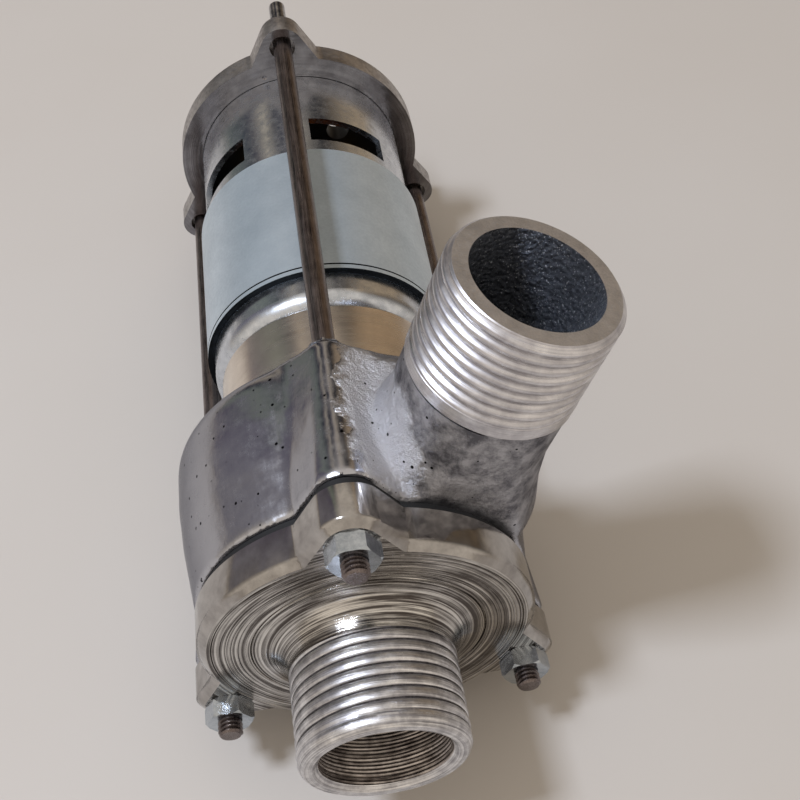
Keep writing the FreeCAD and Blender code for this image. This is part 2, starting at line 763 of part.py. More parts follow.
def cover_gasket():
    body = new_body("cover_gasket")
    disc = sketch_across(body, cover_back)
    circle(disc, d.cover_r - d.gasket_inset)
    pad(body, disc, d.gasket_thick)
    lug_r = d.lug_r - d.gasket_inset
    foot_half = d.lug_foot_half - d.gasket_inset
    add_lugs(body, cover_back, d.gasket_thick, lug_r, foot_half, lug_foot_up)
    opening = sketch_across(body, cover_back - PAST)
    circle(opening, register_r + d.fit_gap)
    pocket(body, opening, d.gasket_thick + PAST * 2)
    drill_lugs(body, cover_back, d.gasket_thick, d.rod_hole_r)


# Casing: barrel, lug columns, scroll chamber and the outlet that leaves it at a tangent

def outlet_sketch(body):
    """A sketch through the outlet's axis: its y runs up the outlet, its x is the radius."""
    sketch = body.newObject("Sketcher::SketchObject", "outlet_profile")
    sketch.AttachmentSupport = (origin_part(body, "XZ_Plane"), [""])
    sketch.MapMode = "FlatFace"
    lean = Rotation(Vector(0, 0, -1), d.outlet_lean.number)
    sketch.AttachmentOffset = Placement(Vector(0, 0, 0), lean)
    bind(sketch, "AttachmentOffset.Rotation.Angle", d.outlet_lean)
    bind(sketch, "AttachmentOffset.Base.x", d.outlet_offset * cosine(d.outlet_lean))
    bind(sketch, "AttachmentOffset.Base.y", -(d.outlet_offset * sine(d.outlet_lean)))
    bind(sketch, "AttachmentOffset.Base.z", -d.outlet_axial)
    return sketch


def scroll_sketch(body, axial):
    """The scroll's outline: three quarter arcs that run on from each other and a closing line."""
    sketch = sketch_across(body, axial, d.outlet_lean)
    step = d.scroll_step.number
    centres = (Vector(0, 0, 0), Vector(step, 0, 0), Vector(step, step, 0))
    add = sketch.addConstraint
    for index, centre in enumerate(centres):
        radius = d.scroll_min_r + d.scroll_step * (index + 1)
        start = math.pi / 2 * (index + 1)
        ring = Part.Circle(centre, Vector(0, 0, 1), radius.number)
        sketch.addGeometry(Part.ArcOfCircle(ring, start, start + math.pi / 2), False)
        number = add(Sketcher.Constraint("Radius", index, radius.number))
        bind(sketch, "Constraints[%d]" % number, radius)
        add(Sketcher.Constraint("Angle", index, math.pi / 2))
        if index > 0:
            add(Sketcher.Constraint("Tangent", index - 1, 2, index, 1))
    first = Vector(0, (d.scroll_min_r + d.scroll_step).number, 0)
    last = centres[2] + Vector((d.scroll_min_r + d.scroll_step * 3).number, 0, 0)
    line = sketch.addGeometry(Part.LineSegment(last, first), False)
    add(Sketcher.Constraint("Coincident", 2, 2, line, 1))
    add(Sketcher.Constraint("Coincident", line, 2, 0, 1))
    add(Sketcher.Constraint("Coincident", 0, 3, -1, 1))
    add(Sketcher.Constraint("PointOnObject", 0, 1, -2))
    return sketch


def volute_casing():
    body = new_body("volute_casing")
    barrel = [
        (0, joint),
        (d.cover_r, joint),
        (d.barrel_mid_r, joint + d.barrel_mid),
        (d.casing_r, joint + d.barrel_full),
        (d.casing_r, casing_back),
        (0, casing_back),
    ]
    turned(body, polygon(sketch_along(body), barrel))
    round_edges(body, ring_edges(body, d.casing_r, casing_back), d.casing_back_round)
    add_columns(body)
    pipe = [
        (0, d.root_start - d.root_sunk),
        (d.root_r, d.root_start - d.root_sunk),
        (d.root_r, d.root_start),
        (d.root_mid_r, (d.root_start + d.root_end) / 2),
        (d.pipe_r, d.root_end),
        (d.pipe_r, outlet_thread_start),
        (d.thread_r, outlet_thread_start),
        (d.thread_r, d.outlet_reach - d.mouth_chamfer),
        (d.thread_r - d.mouth_chamfer, d.outlet_reach),
        (0, d.outlet_reach),
    ]
    turned(body, polygon(outlet_sketch(body), pipe))
    front = sketch_across(body, joint)
    circle(front, d.outlet_reach * 2)
    pocket(body, front, joint, forwards=True)
    # the chamber: a register seat for the cover, then the scroll down to the back wall
    seat = sketch_across(body, joint - PAST)
    circle(seat, register_r + d.fit_gap)
    pocket(body, seat, d.register_deep + d.register_spare + PAST)
    pocket(body, scroll_sketch(body, joint - PAST), chamber_back - joint + PAST)
    sweep = sketch_across(body, joint - PAST)
    circle(sweep, d.scroll_min_r)
    pocket(body, sweep, chamber_back - joint + PAST)
    bore = [
        (0, 0),
        (d.throat_r, 0),
        (d.throat_r, d.outlet_reach - d.outlet_deep),
        (d.outlet_bore_r, d.outlet_reach - d.outlet_deep),
        (d.outlet_bore_r, d.outlet_reach + PAST),
        (0, d.outlet_reach + PAST),
    ]
    turned(body, polygon(outlet_sketch(body), bore), groove=True)
    back = [
        (0, chamber_back - PAST),
        (d.seal_lip_r, chamber_back - PAST),
        (d.seal_lip_r, seal_start),
        (d.seal_r, seal_start),
        (d.seal_r, casing_back - d.spigot_deep),
        (d.spigot_r + d.fit_gap, casing_back - d.spigot_deep),
        (d.spigot_r + d.fit_gap, casing_back + PAST),
        (0, casing_back + PAST),
    ]
    turned(body, polygon(sketch_along(body), back), groove=True)
    drill_lugs(body, joint, d.casing_depth, d.rod_hole_r)


# Rods that clamp the pump together, and their nuts

def rod_places():
    """Where the tie rods stand: across and up, the first one straight above the axis."""
    places = []
    for index in range(int(d.rod_count.number)):
        angle = FULL_TURN / d.rod_count * index
        places.append((rod_pitch_r * sine(angle), rod_pitch_r * cosine(angle)))
    return places


def tie_rods():
    start = d.cover_face - d.rod_proud_front
    rods = []
    for place in rod_places():
        tip = stem(d.rod_tip_r, nut_front - start, start, *place)
        rod = cylinder(d.rod_r, clamp_back - nut_front + PAST, nut_front - PAST, *place)
        tail = stem(d.rod_tail_r, d.rod_proud_rear + PAST, clamp_back - PAST, *place)
        rods.append(fuse([tip, rod, tail]))
    group(rods, "tie_rods")


def rod_nuts():
    group([hex_nut(nut_front, *place) for place in rod_places()], "front_nuts")


# Parts between the casing and the motor

def shaft_seal():
    body = new_body("shaft_seal")
    bore_r = d.coupler_r + d.run_gap
    outer_r = d.seal_r - d.run_gap
    end = seal_start + d.seal_len
    profile = [(bore_r, seal_start), (outer_r, seal_start), (outer_r, end), (bore_r, end)]
    turned(body, polygon(sketch_along(body), profile))


def motor_adapter():
    body = new_body("motor_adapter")
    front = casing_back - d.spigot_deep
    bore_r = d.boss_r + d.fit_gap
    profile = [
        (d.collar_r + d.collar_clear, front),
        (d.spigot_r, front),
        (d.spigot_r, casing_back),
        (d.adapter_r, casing_back),
        (d.adapter_r, motor_face),
        (bore_r, motor_face),
        (bore_r, casing_back),
        (d.collar_r + d.collar_clear, casing_back),
    ]
    turned(body, polygon(sketch_along(body), profile))
    for radius, length in (
        (d.counterbore_r, d.adapter_len - d.screw_seat),
        (d.screw_r + d.fit_gap, d.adapter_len + PAST),
    ):
        hole = sketch_across(body, casing_back)
        circle(hole, radius, d.screw_pitch_r, 0)
        around(body, pocket(body, hole, length), d.screw_count, cut=True)


def motor_screws():
    seat = motor_face - d.screw_seat
    head_front = seat - d.screw_head_len
    screws = []
    for side in (1.0, -1.0):
        across = d.screw_pitch_r * side
        head = stem(d.screw_head_r, d.screw_head_len, head_front, across)
        shank = cylinder(d.screw_r, d.screw_seat + d.screw_bite, seat, across)
        key_flat_r = d.screw_key_r * cosine(HEX_HALF)
        socket = hexagon(key_flat_r, d.screw_key_deep + PAST, head_front - PAST, across)
        screws.append(cut_away(fuse([head, shank]), socket))
    group(screws, "motor_screws")


# Motor: can, field and end cap

def motor_can():
    body = new_body("motor_can")
    boss_front = motor_face - d.boss_len
    seat_r = d.bearing_r + d.run_gap
    profile = [
        (d.shaft_hole_r, boss_front),
        (d.boss_r, boss_front),
        (d.boss_r, motor_face),
        (d.can_r, motor_face),
        (d.can_r, can_rear),
        (can_inner_r, can_rear),
        (can_inner_r, can_inside),
        (seat_r, can_inside),
        (seat_r, front_bearing),
        (d.shaft_hole_r, front_bearing),
    ]
    turned(body, polygon(sketch_along(body), profile))
    round_edges(body, ring_edges(body, d.can_r, motor_face), d.can_round)
    round_edges(body, ring_edges(body, can_inner_r, can_inside), d.can_round - d.can_wall)
    hole = sketch_across(body, motor_face - PAST)
    circle(hole, d.screw_r + d.fit_gap, d.screw_pitch_r, 0)
    around(body, pocket(body, hole, d.can_wall + PAST * 2), d.screw_count, cut=True)
    for centre in (d.vent_right, d.vent_left):
        window = sketch_across(body, motor_face + d.vent_start, centre)
        sector(window, can_inner_r - PAST, d.can_r + PAST, d.vent_angle)
        around(body, pocket(body, window, d.vent_len), d.pair, cut=True)


def flux_ring():
    body = new_body("flux_ring")
    start = motor_face + d.ring_start
    end = start + d.ring_len
    inner_r = d.can_r + d.run_gap
    outer_r = d.can_r + d.ring_thick
    line = start + d.ring_line
    profile = [
        (inner_r, start),
        (outer_r, start),
        (outer_r, line),
        (outer_r - d.line_wide, line),
        (outer_r - d.line_wide, line + d.line_wide),
        (outer_r, line + d.line_wide),
        (outer_r, end),
        (inner_r, end),
    ]
    turned(body, polygon(sketch_along(body), profile))
    seam = sketch_across(body, start - PAST, HALF_TURN)
    sector(seam, d.can_r - PAST, outer_r + PAST, d.seam_angle)
    pocket(body, seam, d.ring_len + PAST * 2)


def magnets():
    body = new_body("magnets")
    arc = sketch_across(body, motor_face + d.magnet_start, QUARTER_TURN)
    sector(arc, magnet_inner_r, can_inner_r - d.run_gap, d.magnet_angle)
    around(body, pad(body, arc, d.magnet_len), d.pair)


def magnet_springs():
    body = new_body("magnet_springs")
    start = motor_face + d.magnet_start + (d.magnet_len - d.spring_len) / 2
    strip = sketch_across(body, start, 0.0)
    outer_r = can_inner_r - d.run_gap
    sector(strip, outer_r - d.spring_thick, outer_r, HALF_TURN - d.magnet_angle)
    around(body, pad(body, strip, d.spring_len), d.pair)


def bearing(label, start):
    """A deep-groove ball bearing, 5 x 13 x 4: outer race, inner race and balls."""
    end = start + d.bearing_len
    races = (
        ("_outer_race", race_outer_r, d.bearing_r),
        ("_inner_race", d.shaft_r + d.run_gap, race_inner_r),
    )
    for name, inner_r, outer_r in races:
        body = new_body(label + name)
        profile = [(inner_r, start), (outer_r, start), (outer_r, end), (inner_r, end)]
        turned(body, polygon(sketch_along(body), profile))
    balls = []
    for index in range(int(d.ball_count.number)):
        angle = FULL_TURN / d.ball_count * index
        ball = DOC.addObject("Part::Sphere", "ball")
        bind(ball, "Radius", (race_outer_r - race_inner_r) / 2)
        pitch_r = (race_outer_r + race_inner_r) / 2
        put(ball, pitch_r * sine(angle), (start + end) / 2, pitch_r * cosine(angle))
        balls.append(ball)
    group(balls, label + "_balls")


def motor_end_cap():
    body = new_body("motor_end_cap")
    boss_front = cap_front - d.cap_boss_len
    seat_r = d.bearing_r + d.run_gap
    rim_r = can_inner_r - d.run_gap
    stop = rear_bearing + d.bearing_len
    profile = [
        (seat_r, boss_front),
        (d.cap_boss_r, boss_front),
        (d.cap_boss_r, cap_front),
        (rim_r, cap_front),
        (rim_r, can_rear),
        (d.shaft_hole_r, can_rear),
        (d.shaft_hole_r, stop),
        (seat_r, stop),
    ]
    turned(body, polygon(sketch_along(body), profile))
    air = sketch_across(body, cap_front - PAST, d.cap_vent_turn)
    circle(air, d.cap_vent_r, 0, d.cap_vent_pitch)
    around(body, pocket(body, air, d.cap_thick + PAST * 2), d.cap_vent_count, cut=True)
    half = d.blade_wide / 2 + d.run_gap
    inner = blade_across - d.blade_thick / 2 - d.run_gap
    outer = blade_across + d.blade_thick / 2 + d.run_gap
    slot = sketch_across(body, cap_front - PAST)
    polygon(slot, [(inner, -half), (outer, -half), (outer, half), (inner, half)])
    around(body, pocket(body, slot, d.cap_thick + PAST * 2), d.pair, cut=True)


def brush_gear():
    """Holders, carbon brushes, leaf springs and terminals, one of each on both sides."""
    holders = []
    brushes = []
    springs = []
    blades = []
    wide = d.brush_width + d.run_gap * 2
    long = d.brush_long + d.run_gap * 2
    for side in (1.0, -1.0):
        across = (d.holder_start + d.holder_len / 2) * side
        start = brush_middle - long / 2 - d.holder_wall
        outside_long = long + d.holder_wall * 2
        shell = block(d.holder_len, outside_long, wide + d.holder_wall * 2, across, start, 0.0)
        channel = block(d.holder_len + PAST * 2, long, wide, across, start + d.holder_wall, 0.0)
        leg_start = start + outside_long
        leg_up = wide / 2 + d.holder_wall / 2
        leg = block(d.holder_len, cap_front - leg_start, d.holder_wall, across, leg_start, leg_up)
        holders.append(fuse([cut_away(shell, channel), leg]))
        brush_start = brush_middle - d.brush_long / 2
        inside = d.commutator_r - PAST
        stick_across = (inside + brush_end) / 2 * side
        stick = block(brush_end - inside, d.brush_long, d.brush_width, stick_across, brush_start, 0.0)
        track = cylinder(d.commutator_r + d.run_gap, d.brush_long + PAST * 2, brush_start - PAST)
        brushes.append(cut_away(stick, track))
        leaf_across = (brush_end + d.leaf_thick / 2) * side
        leaf_start = cap_front - d.leaf_len
        springs.append(block(d.leaf_thick, d.leaf_len, d.leaf_width, leaf_across, leaf_start, 0.0))
        blade_start = cap_front - d.blade_inside
        blade_len = can_rear + d.blade_proud - blade_start
        blades.append(block(d.blade_thick, blade_len, d.blade_wide, blade_across * side, blade_start, 0.0))
    group(holders, "brush_holders")
    group(brushes, "carbon_brushes")
    group(springs, "brush_springs")
    group(blades, "terminals")


def rear_clamp_ring():
    body = new_body("rear_clamp_ring")
    lip_r = d.can_r - d.clamp_lip
    disc = sketch_across(body, clamp_front)
    circle(disc, d.clamp_r)
    pad(body, disc, d.clamp_thick)
    add_lugs(body, clamp_front, d.clamp_thick, d.clamp_lug_r, d.clamp_lug_half, clamp_lug_up)
    opening = [
        (0, clamp_front - PAST),
        (d.can_r + d.fit_gap, clamp_front - PAST),
        (d.can_r + d.fit_gap, can_rear),
        (lip_r, can_rear),
        (lip_r, clamp_back + PAST),
        (0, clamp_back + PAST),
    ]
    turned(body, polygon(sketch_along(body), opening), groove=True)
    drill_lugs(body, clamp_front, d.clamp_thick, d.rod_r + d.run_gap)
    drill_lugs(body, clamp_front - PAST, d.rear_hole_deep, d.rear_hole_r)
    outside = d.clamp_r.number - PAST
    round_edges(body, outline_edges(body, clamp_back, outside), d.edge_round)


# Rotor: everything that turns with the shaft

def motor_shaft():
    body = new_body("motor_shaft")
    bevel = d.end_bevel
    profile = [
        (0, shaft_tip),
        (d.shaft_r - bevel, shaft_tip),
        (d.shaft_r, shaft_tip + bevel),
        (d.shaft_r, shaft_end - bevel),
        (d.shaft_r - bevel, shaft_end),
        (0, shaft_end),
    ]
    turned(body, polygon(sketch_along(body), profile))
    flat = sketch_across(body, shaft_tip - PAST)
    low = d.shaft_r - d.flat_deep
    high = d.shaft_r + PAST
    polygon(flat, [(-high, low), (high, low), (high, high), (-high, high)])
    pocket(body, flat, collar_end - shaft_tip + PAST)


def grub_places():
    return (collar_start + d.grub_inset, collar_end - d.grub_inset)


def shaft_coupler():
    body = new_body("shaft_coupler")
    bore_r = d.shaft_r + d.run_gap
    bevel = d.end_bevel
    profile = [
        (0, coupler_tip),
        (d.rod_r - bevel, coupler_tip),
        (d.rod_r, coupler_tip + bevel),
        (d.rod_r, hub_front + d.shoulder_in),
        (d.tip_r, hub_front + d.shoulder_in),
        (d.tip_r, disc_back),
        (d.coupler_r, disc_back),
        (d.coupler_r, collar_start),
        (d.collar_r, collar_start),
        (d.collar_r, collar_end),
        (bore_r, collar_end),
        (bore_r, shaft_tip),
        (0, shaft_tip),
    ]
    turned(body, polygon(sketch_along(body), profile))
    for place in grub_places():
        hole = body.newObject("Sketcher::SketchObject", "grub_hole")
        hole.AttachmentSupport = (origin_part(body, "XY_Plane"), [""])
        hole.MapMode = "FlatFace"
        circle(hole, d.grub_r + d.run_gap, 0, place)
        pocket(body, hole, d.collar_r + PAST, forwards=True)


def grub_screws():
    screws = []
    low = d.shaft_r - d.flat_deep
    for place in grub_places():
        stick = DOC.addObject("Part::Cylinder", "grub")
        bind(stick, "Radius", d.grub_r)
        bind(stick, "Height", d.grub_len)
        put(stick, 0.0, place, low)
        key = DOC.addObject("Part::Prism", "hexagon_socket")
        key.Polygon = 6
        bind(key, "Circumradius", d.key_r)
        bind(key, "Height", d.key_deep + PAST)
        put(key, 0.0, place, low + d.grub_len - d.key_deep)
        screws.append(cut_away(stick, key))
    group(screws, "grub_screws")


def vane_outline(sketch):
    """A backward-curved vane between the eye and the rim: two arcs about one centre."""
    add = sketch.addConstraint
    reach = d.vane_centre.number
    centre = Vector(reach, 0, 0)
    rims = []
    for radius in (d.vane_eye_r, impeller_r):
        ring = Part.Circle(Vector(0, 0, 0), Vector(0, 0, 1), radius.number)
        rim = sketch.addGeometry(ring, True)
        number = add(Sketcher.Constraint("Radius", rim, radius.number))
        bind(sketch, "Constraints[%d]" % number, radius)
        add(Sketcher.Constraint("Coincident", rim, 3, -1, 1))
        rims.append(rim)
    arcs = []
    ends = []
    for radius in (d.vane_curve_r - d.vane_thick / 2, d.vane_curve_r + d.vane_thick / 2):
        angles = []
        for rim_r in (d.vane_eye_r.number, impeller_r.number):
            turn = math.acos((rim_r ** 2 + reach ** 2 - radius.number ** 2) / (2 * rim_r * reach))
            point = Vector(rim_r * math.cos(turn), rim_r * math.sin(turn), 0) - centre
            angles.append(math.atan2(point.y, point.x))
        ring = Part.Circle(centre, Vector(0, 0, 1), radius.number)
        bow = Part.ArcOfCircle(ring, angles[1], angles[0])
        arc = sketch.addGeometry(bow, False)
        number = add(Sketcher.Constraint("Radius", arc, radius.number))
        bind(sketch, "Constraints[%d]" % number, radius)
        add(Sketcher.Constraint("PointOnObject", arc, 1, rims[1]))
        add(Sketcher.Constraint("PointOnObject", arc, 2, rims[0]))
        arcs.append(arc)
        ends.append((bow.StartPoint, bow.EndPoint))
    number = add(Sketcher.Constraint("DistanceX", -1, 1, arcs[0], 3, reach))
    bind(sketch, "Constraints[%d]" % number, d.vane_centre)
    add(Sketcher.Constraint("PointOnObject", arcs[0], 3, -1))
    add(Sketcher.Constraint("Coincident", arcs[1], 3, arcs[0], 3))
    for end in (1, 2):
        side = Part.LineSegment(ends[0][end - 1], ends[1][end - 1])
        line = sketch.addGeometry(side, False)
        add(Sketcher.Constraint("Coincident", line, 1, arcs[0], end))
        add(Sketcher.Constraint("Coincident", line, 2, arcs[1], end))


def impeller():
    body = new_body("impeller")
    bore_r = d.tip_r + d.run_gap
    profile = [
        (bore_r, hub_front),
        (d.hub_r, hub_front),
        (d.hub_r, disc_front),
        (impeller_r, disc_front),
        (impeller_r, disc_back),
        (bore_r, disc_back),
    ]
    turned(body, polygon(sketch_along(body), profile))
    vane = sketch_across(body, impeller_front)
    vane_outline(vane)
    around(body, pad(body, vane, disc_front - impeller_front), d.vane_count)


def impeller_nut():
    item = hex_nut(hub_front - d.nut_thick)
    keep(item, "impeller_nut")


def armature_core():
    body = new_body("armature_core")
    disc = sketch_across(body, core_start)
    circle(disc, core_r)
    circle(disc, d.shaft_r + d.run_gap)
    pad(body, disc, d.core_len)
    slot = sketch_across(body, core_start - PAST, 0.0)
    sector(slot, slot_floor_r, slot_top_r, d.slot_angle)
    around(body, pocket(body, slot, d.core_len + PAST * 2), d.slot_count, cut=True)
    half = d.slot_mouth / 2
    mouth = sketch_across(body, core_start - PAST)
    low = slot_top_r - PAST
    high = core_r + PAST
    polygon(mouth, [(-half, low), (half, low), (half, high), (-half, high)])
    around(body, pocket(body, mouth, d.core_len + PAST * 2), d.slot_count, cut=True)


def armature_windings():
    body = new_body("armature_windings")
    inner_r = slot_floor_r + d.coil_gap
    outer_r = slot_top_r - d.coil_gap
    front = core_start - d.coil_proud
    back = core_end + d.coil_proud
    front_ring = [(inner_r, front), (outer_r, front), (outer_r, core_start), (inner_r, core_start)]
    turned(body, polygon(sketch_along(body), front_ring))
    fill = sketch_across(body, core_start, 0.0)
    sector(fill, inner_r, outer_r, d.slot_angle - d.coil_side_angle)
    around(body, pad(body, fill, d.core_len), d.slot_count)
    back_ring = [(inner_r, core_end), (outer_r, core_end), (outer_r, back), (inner_r, back)]
    turned(body, polygon(sketch_along(body), back_ring))
    for place in (front, back):
        round_edges(body, ring_edges(body, outer_r, place), d.coil_round)


def commutator():
    body = new_body("commutator")
    ring = sketch_across(body, commutator_start)
    circle(ring, d.commutator_r)
    circle(ring, d.shaft_r + d.run_gap)
    pad(body, ring, d.commutator_len)
    half = d.bar_gap / 2
    low = d.commutator_r - d.bar_deep
    high = d.commutator_r + PAST
    slit = sketch_across(body, commutator_start - PAST)
    polygon(slit, [(-half, low), (half, low), (half, high), (-half, high)])
    around(body, pocket(body, slit, d.commutator_len + PAST * 2), d.slot_count, cut=True)


inlet_cover()
cover_gasket()
volute_casing()
shaft_seal()
motor_adapter()
motor_screws()
motor_can()
flux_ring()
magnets()
magnet_springs()
bearing("front_bearing", front_bearing)
bearing("rear_bearing", rear_bearing)
motor_end_cap()
brush_gear()
rear_clamp_ring()
tie_rods()
rod_nuts()
motor_shaft()
shaft_coupler()
grub_screws()
impeller()
impeller_nut()
armature_core()
armature_windings()
commutator()


def write_parts():
    DOC.recompute()
    for item in DOC.Objects:
        if "Invalid" in item.State or "Error" in item.State:
            raise RuntimeError("%s (%s) failed: %s" % (item.Name, item.Label, item.State))
    os.makedirs("parts", exist_ok=True)
    for item in SUB_PARTS:
        shape = item.Shape
        if shape.isNull() or not shape.isValid():
            raise RuntimeError("the shape of %s is not sound" % item.Label)
        shape.exportStep(os.path.join("parts", item.Label + ".step"))
        print("%-22s solids %2d volume %10.1f" % (item.Label, len(shape.Solids), shape.Volume))


write_parts()
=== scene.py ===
"""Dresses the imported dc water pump: cast skins, pipe threads, rod threads, finishes and a studio.

Every length is in metres in the frame of the solids: +Y runs from the inlet mouth to the back of
the motor, +Z is up through the first tie rod, and the origin is the centre of the inlet mouth.
"""

import logging
import math
from collections.abc import Callable
from dataclasses import dataclass, field
from enum import Enum
from functools import partial

import bmesh
import bpy
import numpy as np
from mathutils import Matrix, Vector

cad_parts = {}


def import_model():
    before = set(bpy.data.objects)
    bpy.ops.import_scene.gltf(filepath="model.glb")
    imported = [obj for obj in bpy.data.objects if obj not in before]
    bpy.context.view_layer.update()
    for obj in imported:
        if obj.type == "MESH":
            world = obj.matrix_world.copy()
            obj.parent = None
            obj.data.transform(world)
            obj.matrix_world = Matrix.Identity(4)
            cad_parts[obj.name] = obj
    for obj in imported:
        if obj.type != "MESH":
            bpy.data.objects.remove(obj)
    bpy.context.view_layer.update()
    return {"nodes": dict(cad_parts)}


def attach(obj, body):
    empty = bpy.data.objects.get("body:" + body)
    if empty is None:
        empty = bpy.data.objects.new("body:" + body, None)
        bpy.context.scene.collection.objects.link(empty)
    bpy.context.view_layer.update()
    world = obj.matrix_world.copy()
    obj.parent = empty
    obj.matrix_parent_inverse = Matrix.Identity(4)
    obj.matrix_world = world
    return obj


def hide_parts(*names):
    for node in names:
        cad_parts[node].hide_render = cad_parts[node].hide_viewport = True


LOG = logging.getLogger("water_pump")
MM = 0.001
TURN = 2.0 * math.pi
# Points closer than this are one point.
WELD = 1e-6
# A face or an edge this close to a limit lies on it; a face this far past an edge lies past it.
NEAR = 0.01 * MM
INSIDE = 0.05 * MM
# How far a cutting body reaches past what it cuts.
CLEAR = 5.0 * MM
# The cosine above which a face counts as square to an axis.
SQUARE = 0.99995
# The angle in degrees up to which a buffed edge is shaded as a round one.
BUFFED_ROUND = 50.0

Pair = tuple[float, float]
Triple = tuple[float, float, float]
Profile = list[Pair]
Piece = bpy.types.Object
Nodes = dict[str, Piece]
Material = bpy.types.Material
Node = bpy.types.Node
Adder = Callable[..., Node]
Socket = bpy.types.NodeSocket


class Join(Enum):
    """How a tool solid works on a base solid."""

    ADD = "UNION"
    CUT = "DIFFERENCE"
    KEEP = "INTERSECT"


class Lay(Enum):
    """The direction in which a surface was worked."""

    TURNED = "round the axis, as lathe marks run"
    DRAWN = "along the axis, as draw marks run"
    CAST = "no direction"


@dataclass(frozen=True)
class Axis:
    """An axis of the pump: where it starts and how its own Z is turned into place."""

    start: Triple
    turn: Triple

    def matrix(self) -> Matrix:
        """Returns the transform from the axis' own frame to the pump's."""
        spin = Matrix.Rotation(self.turn[1], 4, "Y") @ Matrix.Rotation(self.turn[0], 4, "X")
        return Matrix.Translation(self.start) @ spin


# The outlet leans to the side and starts off the pump's axis.
LEAN = math.radians(20.6)
OFFSET = 9.0 * MM
FRAME_AXIS = Axis((0.0, 0.0, 0.0), (0.0, 0.0, 0.0))
PUMP_AXIS = Axis((0.0, 0.0, 0.0), (-math.pi / 2, 0.0, 0.0))
OUTLET_AXIS = Axis((OFFSET * math.cos(LEAN), 40.0 * MM, -OFFSET * math.sin(LEAN)), (0.0, LEAN, 0.0))
# The tie rods stand on a circle, the first one at the top.
ROD_PITCH_R = 28.3 * MM
ROD_COUNT = 3


def rod_axis(index: int) -> Axis:
    """The axis of one tie rod, counted from the top one."""
    angle = TURN / ROD_COUNT * index
    return Axis((ROD_PITCH_R * math.sin(angle), 0.0, ROD_PITCH_R * math.cos(angle)), PUMP_AXIS.turn)


# Meshes


def link(name: str, content: bpy.types.ID) -> Piece:
    """Puts a mesh, a light or a camera into the scene as an object and returns it."""
    piece = bpy.data.objects.new(name, content)
    bpy.context.scene.collection.objects.link(piece)
    return piece


def solid(name: str, points: np.ndarray, faces: list[list[int]], place: Matrix) -> Piece:
    """Makes a closed solid from points and faces.

    Args:
        name: the object's name.
        points: one row per point, in the place's own frame.
        faces: point numbers of each face.
        place: transform into the pump's frame, applied to the points.

    Returns:
        The new object, with its origin at the frame's origin.
    """
    mesh = bpy.data.meshes.new(name)
    mesh.from_pydata([tuple(p) for p in points], [], faces)
    mesh.transform(place)
    mesh.validate()
    piece = link(name, mesh)
    settle(piece)
    return piece


def settle(piece: Piece) -> None:
    """Welds double points and turns every face outwards."""
    work = bmesh.new()
    work.from_mesh(piece.data)
    bmesh.ops.remove_doubles(work, verts=work.verts, dist=WELD)
    bmesh.ops.recalc_face_normals(work, faces=work.faces)
    work.to_mesh(piece.data)
    work.free()


def lathe(
    name: str, profile: Profile, axis: Axis = PUMP_AXIS, segments: int = 120, ring: bool = False
) -> Piece:
    """Turns a profile round an axis.

    Args:
        name: the object's name.
        profile: (radius, place along the axis) of each corner.
        axis: the axis to turn about.
        segments: flats round the axis.
        ring: whether the profile closes on itself; otherwise its ends run square to the axis.

    Returns:
        The turned solid.
    """
    if not ring:
        profile = [(0.0, profile[0][1]), *profile, (0.0, profile[-1][1])]
    angles = np.arange(segments) * TURN / segments
    rings = [np.stack([r * np.cos(angles), r * np.sin(angles), np.full(segments, z)], 1) for r, z in profile]
    count = len(profile)
    faces = []
    for here in range(count):
        after = (here + 1) % count
        if profile[here][0] < WELD and profile[after][0] < WELD:
            continue
        for step in range(segments):
            side = (step + 1) % segments
            faces.append([here * segments + step, here * segments + side,
                          after * segments + side, after * segments + step])
    return solid(name, np.concatenate(rings), faces, axis.matrix())


def bar(
    name: str, radius: float, start: float, end: float, axis: Axis = PUMP_AXIS, segments: int = 120
) -> Piece:
    """A plain round bar along an axis."""
    return lathe(name, [(radius, start), (radius, end)], axis, segments)


